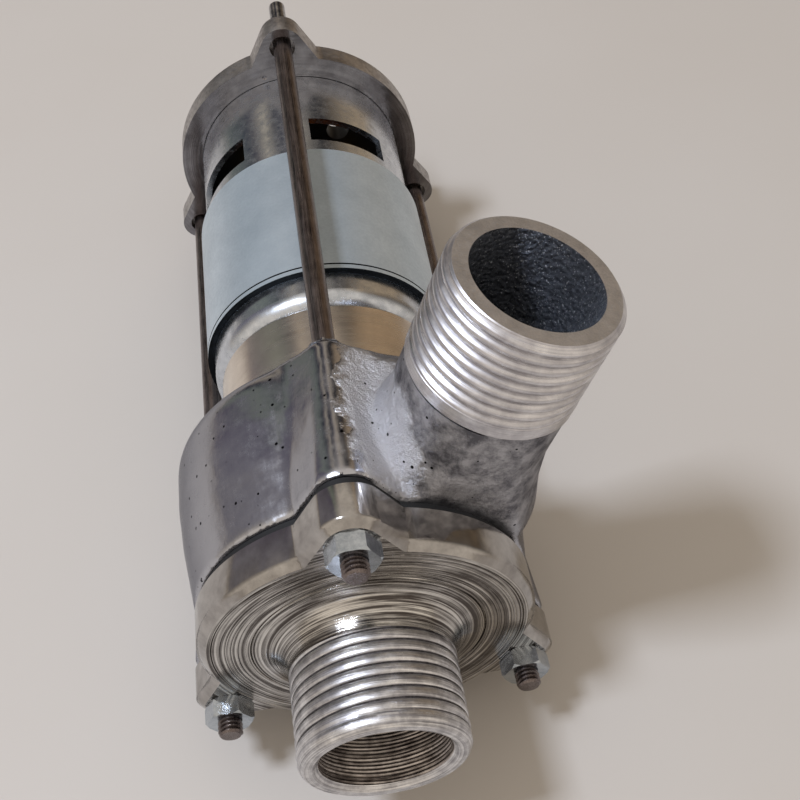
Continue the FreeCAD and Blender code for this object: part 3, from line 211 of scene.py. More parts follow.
@dataclass(frozen=True)
class Thread:
    """A screw thread; its form gives (share of the pitch, share of the depth) from crest to crest."""

    crest_r: float
    depth: float
    pitch: float
    form: tuple[Pair, ...]
    segments: int = 120

    def rod(self, name: str, start: float, end: float, axis: Axis = PUMP_AXIS) -> Piece:
        """Makes a solid rod whose whole side is one helical groove, a little past both ends.

        Args:
            name: the object's name.
            start: where the thread has to be whole along the axis.
            end: where it may stop being whole.
            axis: the thread's axis.

        Returns:
            The threaded rod, to be cut to length by its blank.
        """
        rows = len(self.form)
        shares, depths = np.array(self.form).T
        turns = math.ceil((end - start) / self.pitch) + 3
        levels = np.concatenate([(turn + shares) * self.pitch for turn in range(turns)])
        radii = self.crest_r - np.tile(depths * self.depth, turns)
        total = len(levels)
        angles = np.arange(self.segments) * TURN / self.segments
        points = np.zeros((self.segments, total, 3))
        points[..., 0] = np.cos(angles)[:, None] * radii[None, :]
        points[..., 1] = np.sin(angles)[:, None] * radii[None, :]
        points[..., 2] = start - 1.5 * self.pitch + levels[None, :] + angles[:, None] / TURN * self.pitch
        points = points.reshape(-1, 3)
        faces = []
        for step in range(self.segments):
            last = step == self.segments - 1
            beside = 0 if last else (step + 1) * total
            shift = rows if last else 0
            for row in range(total - 1 - shift):
                here = step * total + row
                there = beside + row + shift
                faces.append([here, there, there + 1, here + 1])
        low = [step * total for step in range(self.segments)] + list(range(rows, 0, -1))
        high = [step * total + total - 1 for step in range(self.segments)]
        high += [(self.segments - 1) * total + total - 1 - row for row in range(1, rows + 1)]
        foot = len(points)
        centres = [[0.0, 0.0, points[:, 2].min()], [0.0, 0.0, points[:, 2].max()]]
        points = np.concatenate([points, centres])
        for loop, centre in ((low, foot), (high, foot + 1)):
            for index, corner in enumerate(loop):
                faces.append([corner, loop[(index + 1) % len(loop)], centre])
        return solid(name, points, faces, axis.matrix())


# The form of each thread: the inlet's, the outlet's, the rods' and the marks of a boring tool.
WORN_CRESTS = (
    (0.0, 0.4), (0.1, 0.14), (0.3, 0.0), (0.5, 0.0), (0.72, 0.14), (0.83, 0.4), (0.89, 1.0), (0.95, 1.0),
)
ROUND_CRESTS = (
    (0.0, 0.12), (0.1, 0.0), (0.32, 0.0), (0.44, 0.14), (0.56, 0.5), (0.68, 0.92), (0.78, 1.0), (0.9, 0.5),
)
SHARP_CRESTS = ((0.0, 0.0), (0.24, 0.0), (0.52, 1.0), (0.7, 1.0))
TOOL_MARKS = ((0.0, 1.0), (0.25, 0.75), (0.45, 0.15), (0.5, 0.0), (0.55, 0.15), (0.75, 0.75))
PIPE_PITCH = 1.814 * MM


def baked(piece: Piece) -> None:
    """Applies the modifiers of a piece to its mesh."""
    ready = piece.evaluated_get(bpy.context.evaluated_depsgraph_get())
    mesh = bpy.data.meshes.new_from_object(ready)
    old = piece.data
    piece.modifiers.clear()
    piece.data = mesh
    bpy.data.meshes.remove(old)


def combine(base: Piece, tool: Piece, how: Join, keep_tool: bool = False) -> None:
    """Works on a base solid with a tool solid.

    Args:
        base: the solid that is changed.
        tool: the solid that is added, cut away or kept in common.
        how: which of these.
        keep_tool: whether the tool stays in the scene for another use.
    """
    step = base.modifiers.new("join", "BOOLEAN")
    step.operation = how.value
    step.solver = "MANIFOLD"
    step.object = tool
    baked(base)
    if not base.data.polygons:
        raise RuntimeError(f"{base.name}: joining with {tool.name} left nothing")
    if not keep_tool:
        scrap = tool.data
        bpy.data.objects.remove(tool)
        bpy.data.meshes.remove(scrap)


def copy_of(node: Piece, name: str) -> Piece:
    """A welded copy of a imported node's mesh, to be worked on as a piece of its own."""
    mesh = node.data.copy()
    mesh.materials.clear()
    piece = link(name, mesh)
    settle(piece)
    return piece


def smooth_by_angle(
    piece: Piece, flats: tuple[Axis, ...] = (PUMP_AXIS,), seam: float | None = None, degrees: float = 32.0
) -> None:
    """Shades a piece smooth, with sharp edges and the edges of faced flats kept crisp.

    Args:
        piece: the piece to shade.
        flats: axes whose square-cut faces stay flat up to their edges.
        seam: place along the pump where two surfaces meet without bending each other's shade.
        degrees: the angle from which an edge is sharp.
    """
    mesh = piece.data
    mesh.polygons.foreach_set("use_smooth", [True] * len(mesh.polygons))
    work = bmesh.new()
    work.from_mesh(mesh)
    limit = math.radians(degrees)
    ways = [axis.matrix().to_3x3() @ Vector((0.0, 0.0, 1.0)) for axis in flats]
    for edge in work.edges:
        sharp = len(edge.link_faces) != 2 or edge.calc_face_angle(0.0) > limit
        for way in ways:
            square = [abs(face.normal.dot(way)) > SQUARE for face in edge.link_faces]
            sharp |= any(square) and not all(square)
        if seam is not None:
            sharp |= all(abs(vert.co.y - seam) < NEAR for vert in edge.verts)
        if sharp:
            edge.smooth = False
    work.to_mesh(mesh)
    work.free()


def round_over(piece: Piece) -> None:
    """Lets wide faces keep their own shade and narrow bevels turn from one to the next, as buffing does."""
    weigh = piece.modifiers.new("weigh", "WEIGHTED_NORMAL")
    weigh.mode = "FACE_AREA"
    weigh.weight = 100
    weigh.keep_sharp = True
    baked(piece)


def face_centres(piece: Piece) -> np.ndarray:
    """The centre of each face, one row each."""
    centres = np.zeros(len(piece.data.polygons) * 3)
    piece.data.polygons.foreach_get("center", centres)
    return centres.reshape(-1, 3)


def about(points: np.ndarray, axis: Axis = PUMP_AXIS) -> tuple[np.ndarray, np.ndarray]:
    """Distance from an axis and place along it, for each point."""
    back = np.array(axis.matrix().inverted())
    local = points @ back[:3, :3].T + back[:3, 3]
    return np.hypot(local[:, 0], local[:, 1]), local[:, 2]


# Finishes

# The relief of work marks and of fine grain.
MARK_HEIGHT = 0.1 * MM
# How fast a mark changes along its lay, as a share of how fast it does across it.
RUN_ON = 0.03
# The wear that a metal shows on average, and the wear over which its tint gives way to its shade.
MEAN_WEAR = 0.65
WEAR_RANGE = (0.35, 0.85)
# The part of the marks' noise over which gloss changes.
MARK_RANGE = (0.3, 0.7)


def to_linear(code: str) -> tuple[float, float, float, float]:
    """Turns an sRGB hex value into linear colour with full alpha."""
    parts = [int(code[place:place + 2], 16) / 255.0 for place in (1, 3, 5)]
    linear = [c / 12.92 if c <= 0.04045 else ((c + 0.055) / 1.055) ** 2.4 for c in parts]
    return (*linear, 1.0)


def add_node(
    tree: bpy.types.NodeTree, kind: str, settings: dict | None = None, links: dict | None = None
) -> Node:
    """Adds a node with its settings and links.

    Args:
        tree: the material's tree.
        kind: the node's type name, without the ShaderNode in front.
        settings: attributes by lower-case name, and input values by socket name or number. FROM and TO
            take a pair of values each, and a colour is given by its hex value.
        links: output sockets by the input that they feed; a node stands for its first output.

    Returns:
        The new node.
    """
    node = tree.nodes.new("ShaderNode" + kind)
    for name, value in (settings or {}).items():
        if isinstance(name, str) and name[0].islower():
            setattr(node, name, value)
            continue
        pairs = zip(name, value) if isinstance(name, tuple) else ((name, value),)
        for part, number in pairs:
            node.inputs[part].default_value = to_linear(number) if isinstance(number, str) else number
    for name, source in (links or {}).items():
        first = source.outputs[0] if isinstance(source, Node) else source
        tree.links.new(first, node.inputs[name])
    return node


# The limits of a range, as the sockets of a MapRange node name them.
FROM = ("From Min", "From Max")
TO = ("To Min", "To Max")


def new_material(name: str) -> tuple[Material, Adder]:
    """An empty node material, and add_node bound to its tree."""
    material = bpy.data.materials.new(name)
    material.use_nodes = True
    material.node_tree.nodes.clear()
    return material, partial(add_node, material.node_tree)


def surface_places(add: Adder, axis: Axis) -> dict[str, Socket]:
    """Places on the surface in millimetres, seen from an axis: the point, its radius and its height."""
    coordinates = add("TexCoord")
    local = add(
        "Mapping",
        {"vector_type": "TEXTURE", "Location": axis.start, "Rotation": axis.turn, "Scale": (MM, MM, MM)},
        {"Vector": coordinates.outputs["Object"]},
    )
    parts = add("SeparateXYZ", links={0: local})
    flat = add("CombineXYZ", links={0: parts, 1: parts.outputs[1]})
    radius = add("VectorMath", {"operation": "LENGTH"}, {0: flat})
    return {
        "point": local.outputs[0], "radius": radius.outputs["Value"],
        "across": parts.outputs[0], "along": parts.outputs[2],
    }


def lines_on(add: Adder, lay: Lay, axis: Axis, spacing: float) -> Socket:
    """Work marks as a value from 0 to 1, with their spacing in millimetres."""
    places = surface_places(add, axis)
    source = places["point"]
    if lay is Lay.TURNED:
        drift = add("Math", {"operation": "MULTIPLY", 1: RUN_ON}, {0: places["across"]})
        source = add("CombineXYZ", links={0: places["radius"], 1: places["along"], 2: drift})
    elif lay is Lay.DRAWN:
        source = add("VectorMath", {"operation": "MULTIPLY", 1: (1.0, 1.0, RUN_ON)}, {0: places["point"]})
    fineness = {"Scale": 1.0 / spacing, "Detail": 3.0, "Roughness": 0.6}
    return add("TexNoise", fineness, {"Vector": source}).outputs["Fac"]


@dataclass(frozen=True)
class WorkedMetal:
    """A bare metal surface: tint, worn shade, gloss and the marks that its making left.

    Spacing is that of the marks and patch the size of the clouds of wear, both in millimetres.
    """

    name: str
    tint: str
    shade: str
    rough: Pair = (0.2, 0.4)
    lay: Lay = Lay.CAST
    axis: Axis = PUMP_AXIS
    spacing: float = 0.5
    mark_depth: float = 0.15
    patch: float = 6.0
    metallic: float = 1.0
    coat: float = 0.0
    patch_share: float = 0.9
    mark_share: float = 0.5

    def build(self, add: Adder) -> Node:
        """Makes the shader: patches vary its tint, and the marks vary its gloss and its relief."""
        marks = lines_on(add, self.lay, self.axis, self.spacing)
        point = surface_places(add, self.axis)["point"]
        clouds = {"Scale": 1.0 / self.patch, "Detail": 5.0, "Roughness": 0.65}
        patches = add("TexNoise", clouds, {"Vector": point})
        middle = MEAN_WEAR - (self.mark_share + self.patch_share) / 2
        blend = add("Math", {"operation": "MULTIPLY_ADD", 1: self.mark_share, 2: middle}, {0: marks})
        worn = add(
            "Math", {"operation": "MULTIPLY_ADD", "use_clamp": True, 1: self.patch_share},
            {0: patches, 2: blend},
        )
        spread = add("MapRange", {FROM: WEAR_RANGE}, {"Value": worn})
        colour = add("Mix", {"data_type": "RGBA", 6: self.tint, 7: self.shade}, {0: spread})
        gloss = add("MapRange", {FROM: MARK_RANGE, TO: self.rough}, {"Value": marks})
        relief = add("Bump", {"Strength": self.mark_depth, "Distance": MARK_HEIGHT}, {"Height": marks})
        return add(
            "BsdfPrincipled", {"Metallic": self.metallic, "Coat Weight": self.coat},
            {"Base Color": colour.outputs[2], "Roughness": gloss, "Normal": relief},
        )


@dataclass(frozen=True)
class CastSkin:
    """Sand-cast aluminium, buffed by hand except in the corner between the lug and the outlet.

    Lengths are in millimetres. The raw patch is an ellipsoid about its corner, and the neck is the
    part of the outlet inside one radius and above one height, each given as a fade from 0 to 1.
    Smears darken the neck and dull the buffed metal over the given parts of their noise.
    """

    name: str = "sand_cast_aluminium_partly_buffed"
    mirror: str = "#BFC0C6"
    skin: str = "#DADADE"
    neck: str = "#BDBDC2"
    neck_dark: str = "#6B6B71"
    # The gas pits' colour: painted shade inside the pits.
    soot: str = "#1C1C20"
    # edge_tint darkens the metal's grazing reflections: painted shade for the shaded floor that the
    # casting's edges mirror.
    edge_tint: str = "#B4B4B8"
    corner: Triple = (7.0, 41.0, 30.0)
    reach: Triple = (5.4, 15.0, 7.0)
    raw_fade: Pair = (1.75, 1.4)
    raw_ragged: float = 1.1
    raw_cloud: float = 2.857
    neck_r: Pair = (18.5, 14.5)
    neck_height: Pair = (12.0, 24.0)
    neck_grit: float = 0.28
    grit: float = 1.0526
    grit_height: float = 0.75
    wave: float = 7.692
    wave_height: float = 1.0
    smear: float = 3.333
    smear_grime: Pair = (0.4, 0.64)
    smear_dulls: Pair = (0.42, 0.75)
    pit_cell: float = 0.909
    pit_chance: float = 0.16
    pit_r: float = 0.3
    buffing: float = 0.5
    buffed_gloss: Pair = (0.17, 0.32)
    streaks: Pair = (0.12, -0.05)
    neck_gloss: float = 0.38
    raw_gloss: float = 0.36

    def rough_share(self, add: Adder, point: Socket) -> Socket:
        """Where the raw skin is left: 1 inside the corner, 0 on the buffed rest, with a ragged edge."""
        clouds = add("TexNoise", {"Scale": 1.0 / self.raw_cloud, "Detail": 4.0}, {"Vector": point})
        shift = add("VectorMath", {"operation": "SUBTRACT", 1: self.corner}, {0: point})
        scaled = add("VectorMath", {"operation": "DIVIDE", 1: self.reach}, {0: shift})
        away = add("VectorMath", {"operation": "LENGTH"}, {0: scaled})
        ragged = add(
            "Math", {"operation": "MULTIPLY_ADD", 1: self.raw_ragged}, {0: clouds, 2: away.outputs["Value"]}
        )
        return add("MapRange", {FROM: self.raw_fade}, {"Value": ragged}).outputs[0]

    def neck_share(self, add: Adder) -> Socket:
        """Where the outlet's neck is: 1 on the pipe, which is only rubbed satin, and 0 on the barrel."""
        places = surface_places(add, OUTLET_AXIS)
        near = add("MapRange", {FROM: self.neck_r}, {"Value": places["radius"]})
        high = add("MapRange", {FROM: self.neck_height}, {"Value": places["along"]})
        return add("Math", {"operation": "MULTIPLY"}, {0: near, 1: high}).outputs[0]

    def pits(self, add: Adder, point: Socket) -> Socket:
        """Gas pits: 1 inside a pit, which only some of the cells have, each with a size of its own."""
        cells = add("TexVoronoi", {"Scale": 1.0 / self.pit_cell, "Randomness": 1.0}, {"Vector": point})
        chance = add("SeparateColor", links={0: cells.outputs["Color"]})
        size = add(
            "MapRange", {"From Min": 1.0 - self.pit_chance, "From Max": 1.0, "To Max": self.pit_r},
            {"Value": chance},
        )
        return add("Math", {"operation": "LESS_THAN"}, {0: cells.outputs["Distance"], 1: size}).outputs[0]

    def build(self, add: Adder) -> Node:
        """Makes the shader: place masks turn the buffed metal into rough skin and into the satin neck."""
        point = surface_places(add, FRAME_AXIS)["point"]
        rough = self.rough_share(add, point)
        neck = self.neck_share(add)
        where = {"Vector": point}
        grit = add("TexNoise", {"Scale": 1.0 / self.grit, "Detail": 6.0, "Roughness": 0.72}, where)
        waves = add("TexNoise", {"Scale": 1.0 / self.wave, "Detail": 3.0}, where)
        smears = add("TexNoise", {"Scale": 1.0 / self.smear, "Detail": 5.0, "Roughness": 0.7}, where)
        grime = add("MapRange", {FROM: self.smear_grime}, {"Value": smears})
        tone = add("Mix", {"data_type": "RGBA", 6: self.neck, 7: self.neck_dark}, {0: grime})
        rubbed = add("Mix", {"data_type": "RGBA", 6: self.mirror}, {0: neck, 7: tone.outputs[2]})
        base = add("Mix", {"data_type": "RGBA", 7: self.skin}, {0: rough, 6: rubbed.outputs[2]})
        # The gas pits are painted dark: painted shade inside them.
        tints = {"data_type": "RGBA", 7: self.soot}
        colour = add("Mix", tints, {0: self.pits(add, point), 6: base.outputs[2]})
        buffing = lines_on(add, Lay.DRAWN, PUMP_AXIS, self.buffing)
        polish = add("MapRange", {FROM: self.smear_dulls, TO: self.buffed_gloss}, {"Value": smears})
        satin = add("Mix", {"data_type": "FLOAT", 3: self.neck_gloss}, {0: neck, 2: polish})
        gloss = add("Mix", {"data_type": "FLOAT", 3: self.raw_gloss}, {0: rough, 2: satin})
        streaks = add("Math", {"operation": "MULTIPLY_ADD", (1, 2): self.streaks}, {0: buffing})
        roughness = add("Math", {"operation": "ADD"}, {0: gloss, 1: streaks})
        some = {"operation": "MULTIPLY_ADD", "use_clamp": True, 1: self.neck_grit}
        unworked = add("Math", some, {0: neck, 2: rough})
        coarse = add("Math", {"operation": "MULTIPLY"}, {0: grit, 1: unworked})
        uneven = add("Bump", {"Strength": 0.2, "Distance": self.wave_height * MM}, {"Height": waves})
        fine = add(
            "Bump", {"Strength": 0.07, "Distance": MARK_HEIGHT}, {"Height": buffing, "Normal": uneven}
        )
        relief = add(
            "Bump", {"Strength": 0.95, "Distance": self.grit_height * MM}, {"Height": coarse, "Normal": fine}
        )
        return add(
            "BsdfPrincipled", {"Metallic": 1.0, "Specular Tint": self.edge_tint},
            {"Base Color": colour.outputs[2], "Roughness": roughness, "Normal": relief},
        )


@dataclass(frozen=True)
class CoreSand:
    """The unworked bore of a sand casting: dark and coarse, with painted glints where grains stand out.

    The sizes of its grains, lumps and painted glints are in millimetres.
    """

    name: str = "sand_cored_bore"
    dark: str = "#292D35"
    light: str = "#858B97"
    # Colour of the painted glints: bright points put into the base colour where light would catch the
    # grains.
    spark: str = "#E4E8F0"
    grain: float = 0.769
    lump: float = 1.111
    spark_size: float = 0.3125
    spark_from: Pair = (0.62, 0.69)
    height: float = 1.6

    def build(self, add: Adder) -> Node:
        """Makes the shader from two sizes of grain and painted glints on bright points of the smallest."""
        where = {"Vector": surface_places(add, OUTLET_AXIS)["point"]}
        cells = {"feature": "SMOOTH_F1", "Scale": 1.0 / self.grain, "Smoothness": 0.4}
        grain = add("TexVoronoi", cells, where)
        lumps = add("TexNoise", {"Scale": 1.0 / self.lump, "Detail": 6.0, "Roughness": 0.75}, where)
        height = add(
            "Math", {"operation": "MULTIPLY_ADD", 1: -0.6}, {0: grain.outputs["Distance"], 2: lumps}
        )
        colour = add("Mix", {"data_type": "RGBA", 6: self.dark, 7: self.light}, {0: lumps})
        # Painted glints: bright points of base colour standing in for light caught by the grains.
        points = add("TexNoise", {"Scale": 1.0 / self.spark_size, "Detail": 2.0, "Roughness": 0.6}, where)
        bright = add("MapRange", {FROM: self.spark_from}, {"Value": points})
        glitter = add("Mix", {"data_type": "RGBA", 7: self.spark}, {0: bright, 6: colour.outputs[2]})
        relief = add("Bump", {"Strength": 1.0, "Distance": self.height * MM}, {"Height": height})
        return add(
            "BsdfPrincipled", {"Metallic": 0.8, "Roughness": 0.32},
            {"Base Color": glitter.outputs[2], "Normal": relief},
        )


@dataclass(frozen=True)
class Moulded:
    """Rubber, plastic, carbon or ferrite: no metal, a fine grain and a slight change of shade."""

    name: str
    tint: str
    shade: str
    roughness: float = 0.6
    grain: float = 0.4
    relief: float = 0.2

    def build(self, add: Adder) -> Node:
        """Makes the shader from one noise of the grain's size."""
        point = surface_places(add, PUMP_AXIS)["point"]
        grain = add("TexNoise", {"Scale": 1.0 / self.grain, "Detail": 4.0}, {"Vector": point})
        colour = add("Mix", {"data_type": "RGBA", 6: self.tint, 7: self.shade}, {0: grain})
        relief = add("Bump", {"Strength": self.relief, "Distance": MARK_HEIGHT}, {"Height": grain})
        return add(
            "BsdfPrincipled", {"Roughness": self.roughness},
            {"Base Color": colour.outputs[2], "Normal": relief},
        )


Finish = WorkedMetal | CastSkin | CoreSand | Moulded


@dataclass
class FinishRack:
    """Every finish of the pump by a maker's name, built once and shared."""

    made: dict[str, Material] = field(default_factory=dict)

    def get(self, finish: Finish) -> Material:
        """Returns the material of a finish, building it at its first use."""
        if finish.name not in self.made:
            self.made[finish.name], add = new_material(finish.name)
            add("OutputMaterial", links={0: finish.build(add)})
        return self.made[finish.name]

    def dress(self, piece: Piece, finishes: tuple[tuple[Finish, np.ndarray | None], ...]) -> None:
        """Gives a piece its finishes: the first everywhere, and each later one over it on its own faces.

        Args:
            piece: the piece to dress.
            finishes: each finish with a truth value for every face, or with None for the first.
        """
        piece.data.materials.clear()
        numbers = np.zeros(len(piece.data.polygons), dtype=np.int32)
        for index, (finish, faces) in enumerate(finishes):
            piece.data.materials.append(self.get(finish))
            if faces is not None:
                numbers[faces] = index
        piece.data.polygons.foreach_set("material_index", numbers)


# Sand-cast aluminium: a grey, slightly wavy mirror where it was buffed, with gas pits painted black as
# shade.
CAST_SKIN = CastSkin()
# Left as the sand core made it: a dark, coarse bore, with painted glints.
CORE_SAND = CoreSand()
# Cast aluminium under a coarse lathe tool: dark and light rings, drawn twice as wide as the feed.
TURNED_FACE = WorkedMetal(
    "turned_cast_aluminium", "#DEDBD6", "#524C49", (0.09, 0.26), Lay.TURNED, spacing=0.32, mark_depth=0.8,
    patch_share=0.4, mark_share=2.0,
)
# Ground and buffed aluminium: a pale, almost even mirror.
BUFFED_RIM = WorkedMetal(
    "buffed_cast_aluminium_rim", "#C6C3BF", "#979390", (0.08, 0.2), spacing=1.8, mark_depth=0.1
)
# Bored aluminium with old dirt in the tool marks: brown and grey rings.
BORED_MOUTH = WorkedMetal(
    "bored_aluminium_mouth", "#D0C8C2", "#5A524F", (0.3, 0.52), Lay.TURNED, spacing=0.3, mark_depth=0.8,
    patch=2.0, mark_share=1.2,
)
# Painted shade in the thread's roots: dull and dark between the crests.
THREAD_ROOT = WorkedMetal(
    "soiled_thread_root", "#8E8989", "#3C3837", (0.5, 0.7), spacing=0.4, mark_depth=0.5, patch=1.2,
    metallic=0.6,
)
# Painted shade on a sheared steel edge, for the dark gap line at the flux ring's front: nearly black, with a
# weak gloss.
SHEARED_EDGE = WorkedMetal("oiled_sheared_edge", "#2E343B", "#14171A", (0.3, 0.45), Lay.TURNED, spacing=0.3)
# Sawn and filed aluminium: pale, dull and flat.
SAWN_MOUTH = WorkedMetal(
    "sawn_aluminium_mouth", "#D8D5D3", "#B2AFAD", (0.42, 0.6), axis=OUTLET_AXIS, spacing=0.35,
    mark_depth=0.5, patch=2.5,
)
# Aluminium under a die: bright crests with fine lines along the thread, drawn wider than real to show.
CUT_THREAD = WorkedMetal(
    "die_cut_aluminium_thread", "#F2F1F1", "#9B999C", (0.24, 0.46), Lay.TURNED, spacing=0.24, mark_depth=0.6,
    patch=2.2, mark_share=1.2,
)
# The same die on the outlet, cleaner: whiter crests and fewer marks.
CUT_THREAD_OUTLET = WorkedMetal(
    "die_cut_aluminium_outlet_thread", "#F0EFF1", "#B2B0B5", (0.24, 0.44), Lay.TURNED, OUTLET_AXIS,
    spacing=0.3, mark_depth=0.4, patch=3.0,
)
# Painted shade in the outlet thread's roots: a thin line, dark in places and pale in others.
OUTLET_ROOT = WorkedMetal(
    "wiped_outlet_thread_root", "#8F8B89", "#2E2B2A", (0.4, 0.6), axis=OUTLET_AXIS, spacing=0.5,
    mark_depth=0.4, patch=4.5, metallic=0.75, patch_share=1.8,
)
# Fine-turned aluminium: a warm sheen in broad bands; the real lines are too fine to show.
ADAPTER_TURNED = WorkedMetal(
    "bright_turned_aluminium", "#F6ECDF", "#D3C9BE", (0.2, 0.32), Lay.TURNED, spacing=2.2, mark_depth=0.05
)
# Ground aluminium: a dark mirror with faint rings, as the can's reflection fills it.
GROUND_FACE = WorkedMetal(
    "ground_clamp_aluminium", "#B0AFB3", "#716E71", (0.1, 0.24), Lay.TURNED, spacing=0.5, mark_depth=0.15
)
# Rough cast aluminium, rubbed by hand: light grey grains on a darker skin.
CAST_RIM = WorkedMetal(
    "rough_cast_aluminium_rim", "#DAD7D5", "#86817F", (0.28, 0.5), spacing=0.8, mark_depth=0.9
)
# Nickel-plated sheet: a cool, bright mirror, a little clouded.
CAN_PLATE = WorkedMetal(
    "bright_nickel_plated_sheet", "#E6EBF2", "#BFC5CD", (0.17, 0.32), spacing=1.5, mark_depth=0.06
)
# Zinc-plated strip with a satin lacquer: even pale blue, with no clear reflection.
RING_PLATE = WorkedMetal(
    "satin_zinc_plated_strip", "#CFDBE3", "#B5C2CB", (0.33, 0.43), spacing=0.6, mark_depth=0.06, patch=9.0,
    metallic=0.65,
)
# Bright zinc on small steel pieces: a cold mirror with slight clouding.
ZINC = WorkedMetal(
    "bright_zinc_plating", "#CDD4DB", "#9AA2AA", (0.12, 0.22), spacing=0.6, mark_depth=0.12, patch=4.0
)
# Drawn steel with its mill scale: brown-black with paler streaks along the bar, drawn wider than real.
BLACK_BAR = WorkedMetal(
    "drawn_black_steel_bar", "#4F4746", "#857B78", (0.2, 0.4), Lay.DRAWN, spacing=0.16, mark_depth=0.35,
    patch=3.0, mark_share=0.9,
)
# Turned steel handled with oily hands: bright, with dark smears.
TAIL_STEEL = WorkedMetal(
    "bright_turned_steel_tail", "#DEDEE0", "#4E5156", (0.12, 0.3), Lay.DRAWN, mark_depth=0.2, patch=1.5
)
# Heat-blued strip: dark grey-blue with a soft gloss.
SPRING_STEEL = WorkedMetal("blued_spring_steel", "#7C8088", "#4F545C", (0.2, 0.35), Lay.DRAWN)
# Ground bearing steel: a clean, hard mirror.
GROUND_STEEL = WorkedMetal(
    "ground_bearing_steel", "#C9CACC", "#8E9094", (0.08, 0.18), Lay.TURNED, spacing=0.2
)
# Punched brass sheet: yellow, with browned patches.
PUNCHED_BRASS = WorkedMetal("punched_brass", "#C9A04A", "#8A6A2C", (0.2, 0.38), Lay.DRAWN, patch=2.0)
# Die-cast aluminium: even, dull grey.
IMPELLER_CAST = WorkedMetal("die_cast_aluminium", "#9FA1A5", "#6C6E73", (0.35, 0.55), mark_depth=0.4)
# Stacked electrical steel: dull grey with the lines of the sheets.
LAMINATED = WorkedMetal("stacked_electrical_steel", "#6C6F75", "#3E4147", (0.35, 0.5), Lay.TURNED)
# Enamelled copper wire: a deep orange-brown under a clear, glossy coat.
ENAMELLED_WIRE = WorkedMetal(
    "enamelled_copper_wire", "#B5682F", "#6E3818", (0.25, 0.4), Lay.DRAWN, spacing=0.6, mark_depth=0.8,
    coat=0.6,
)
# Bare copper worn by the brushes: pink-brown, with dark rings.
COMMUTATOR_BAR = WorkedMetal("bare_copper_bar", "#C37B52", "#7E4B30", (0.2, 0.4), Lay.TURNED, spacing=0.3)
# Rubbers, nylon, ferrite and carbon: black to dark grey, from matt to slightly glossy.
SHEET_GASKET = Moulded("nitrile_sheet_gasket", "#0B0B0C", "#161618", 0.7)
SEAL_RUBBER = Moulded("moulded_nitrile_seal", "#121213", "#1C1C1E", 0.5)
END_CAP = Moulded("moulded_black_nylon", "#17181A", "#232427", 0.45)
FERRITE = Moulded("sintered_ferrite", "#2A2B2E", "#3A3B3F", 0.6)
CARBON = Moulded("pressed_carbon", "#1B1B1C", "#2C2C2E", 0.65)


# Sub-assemblies


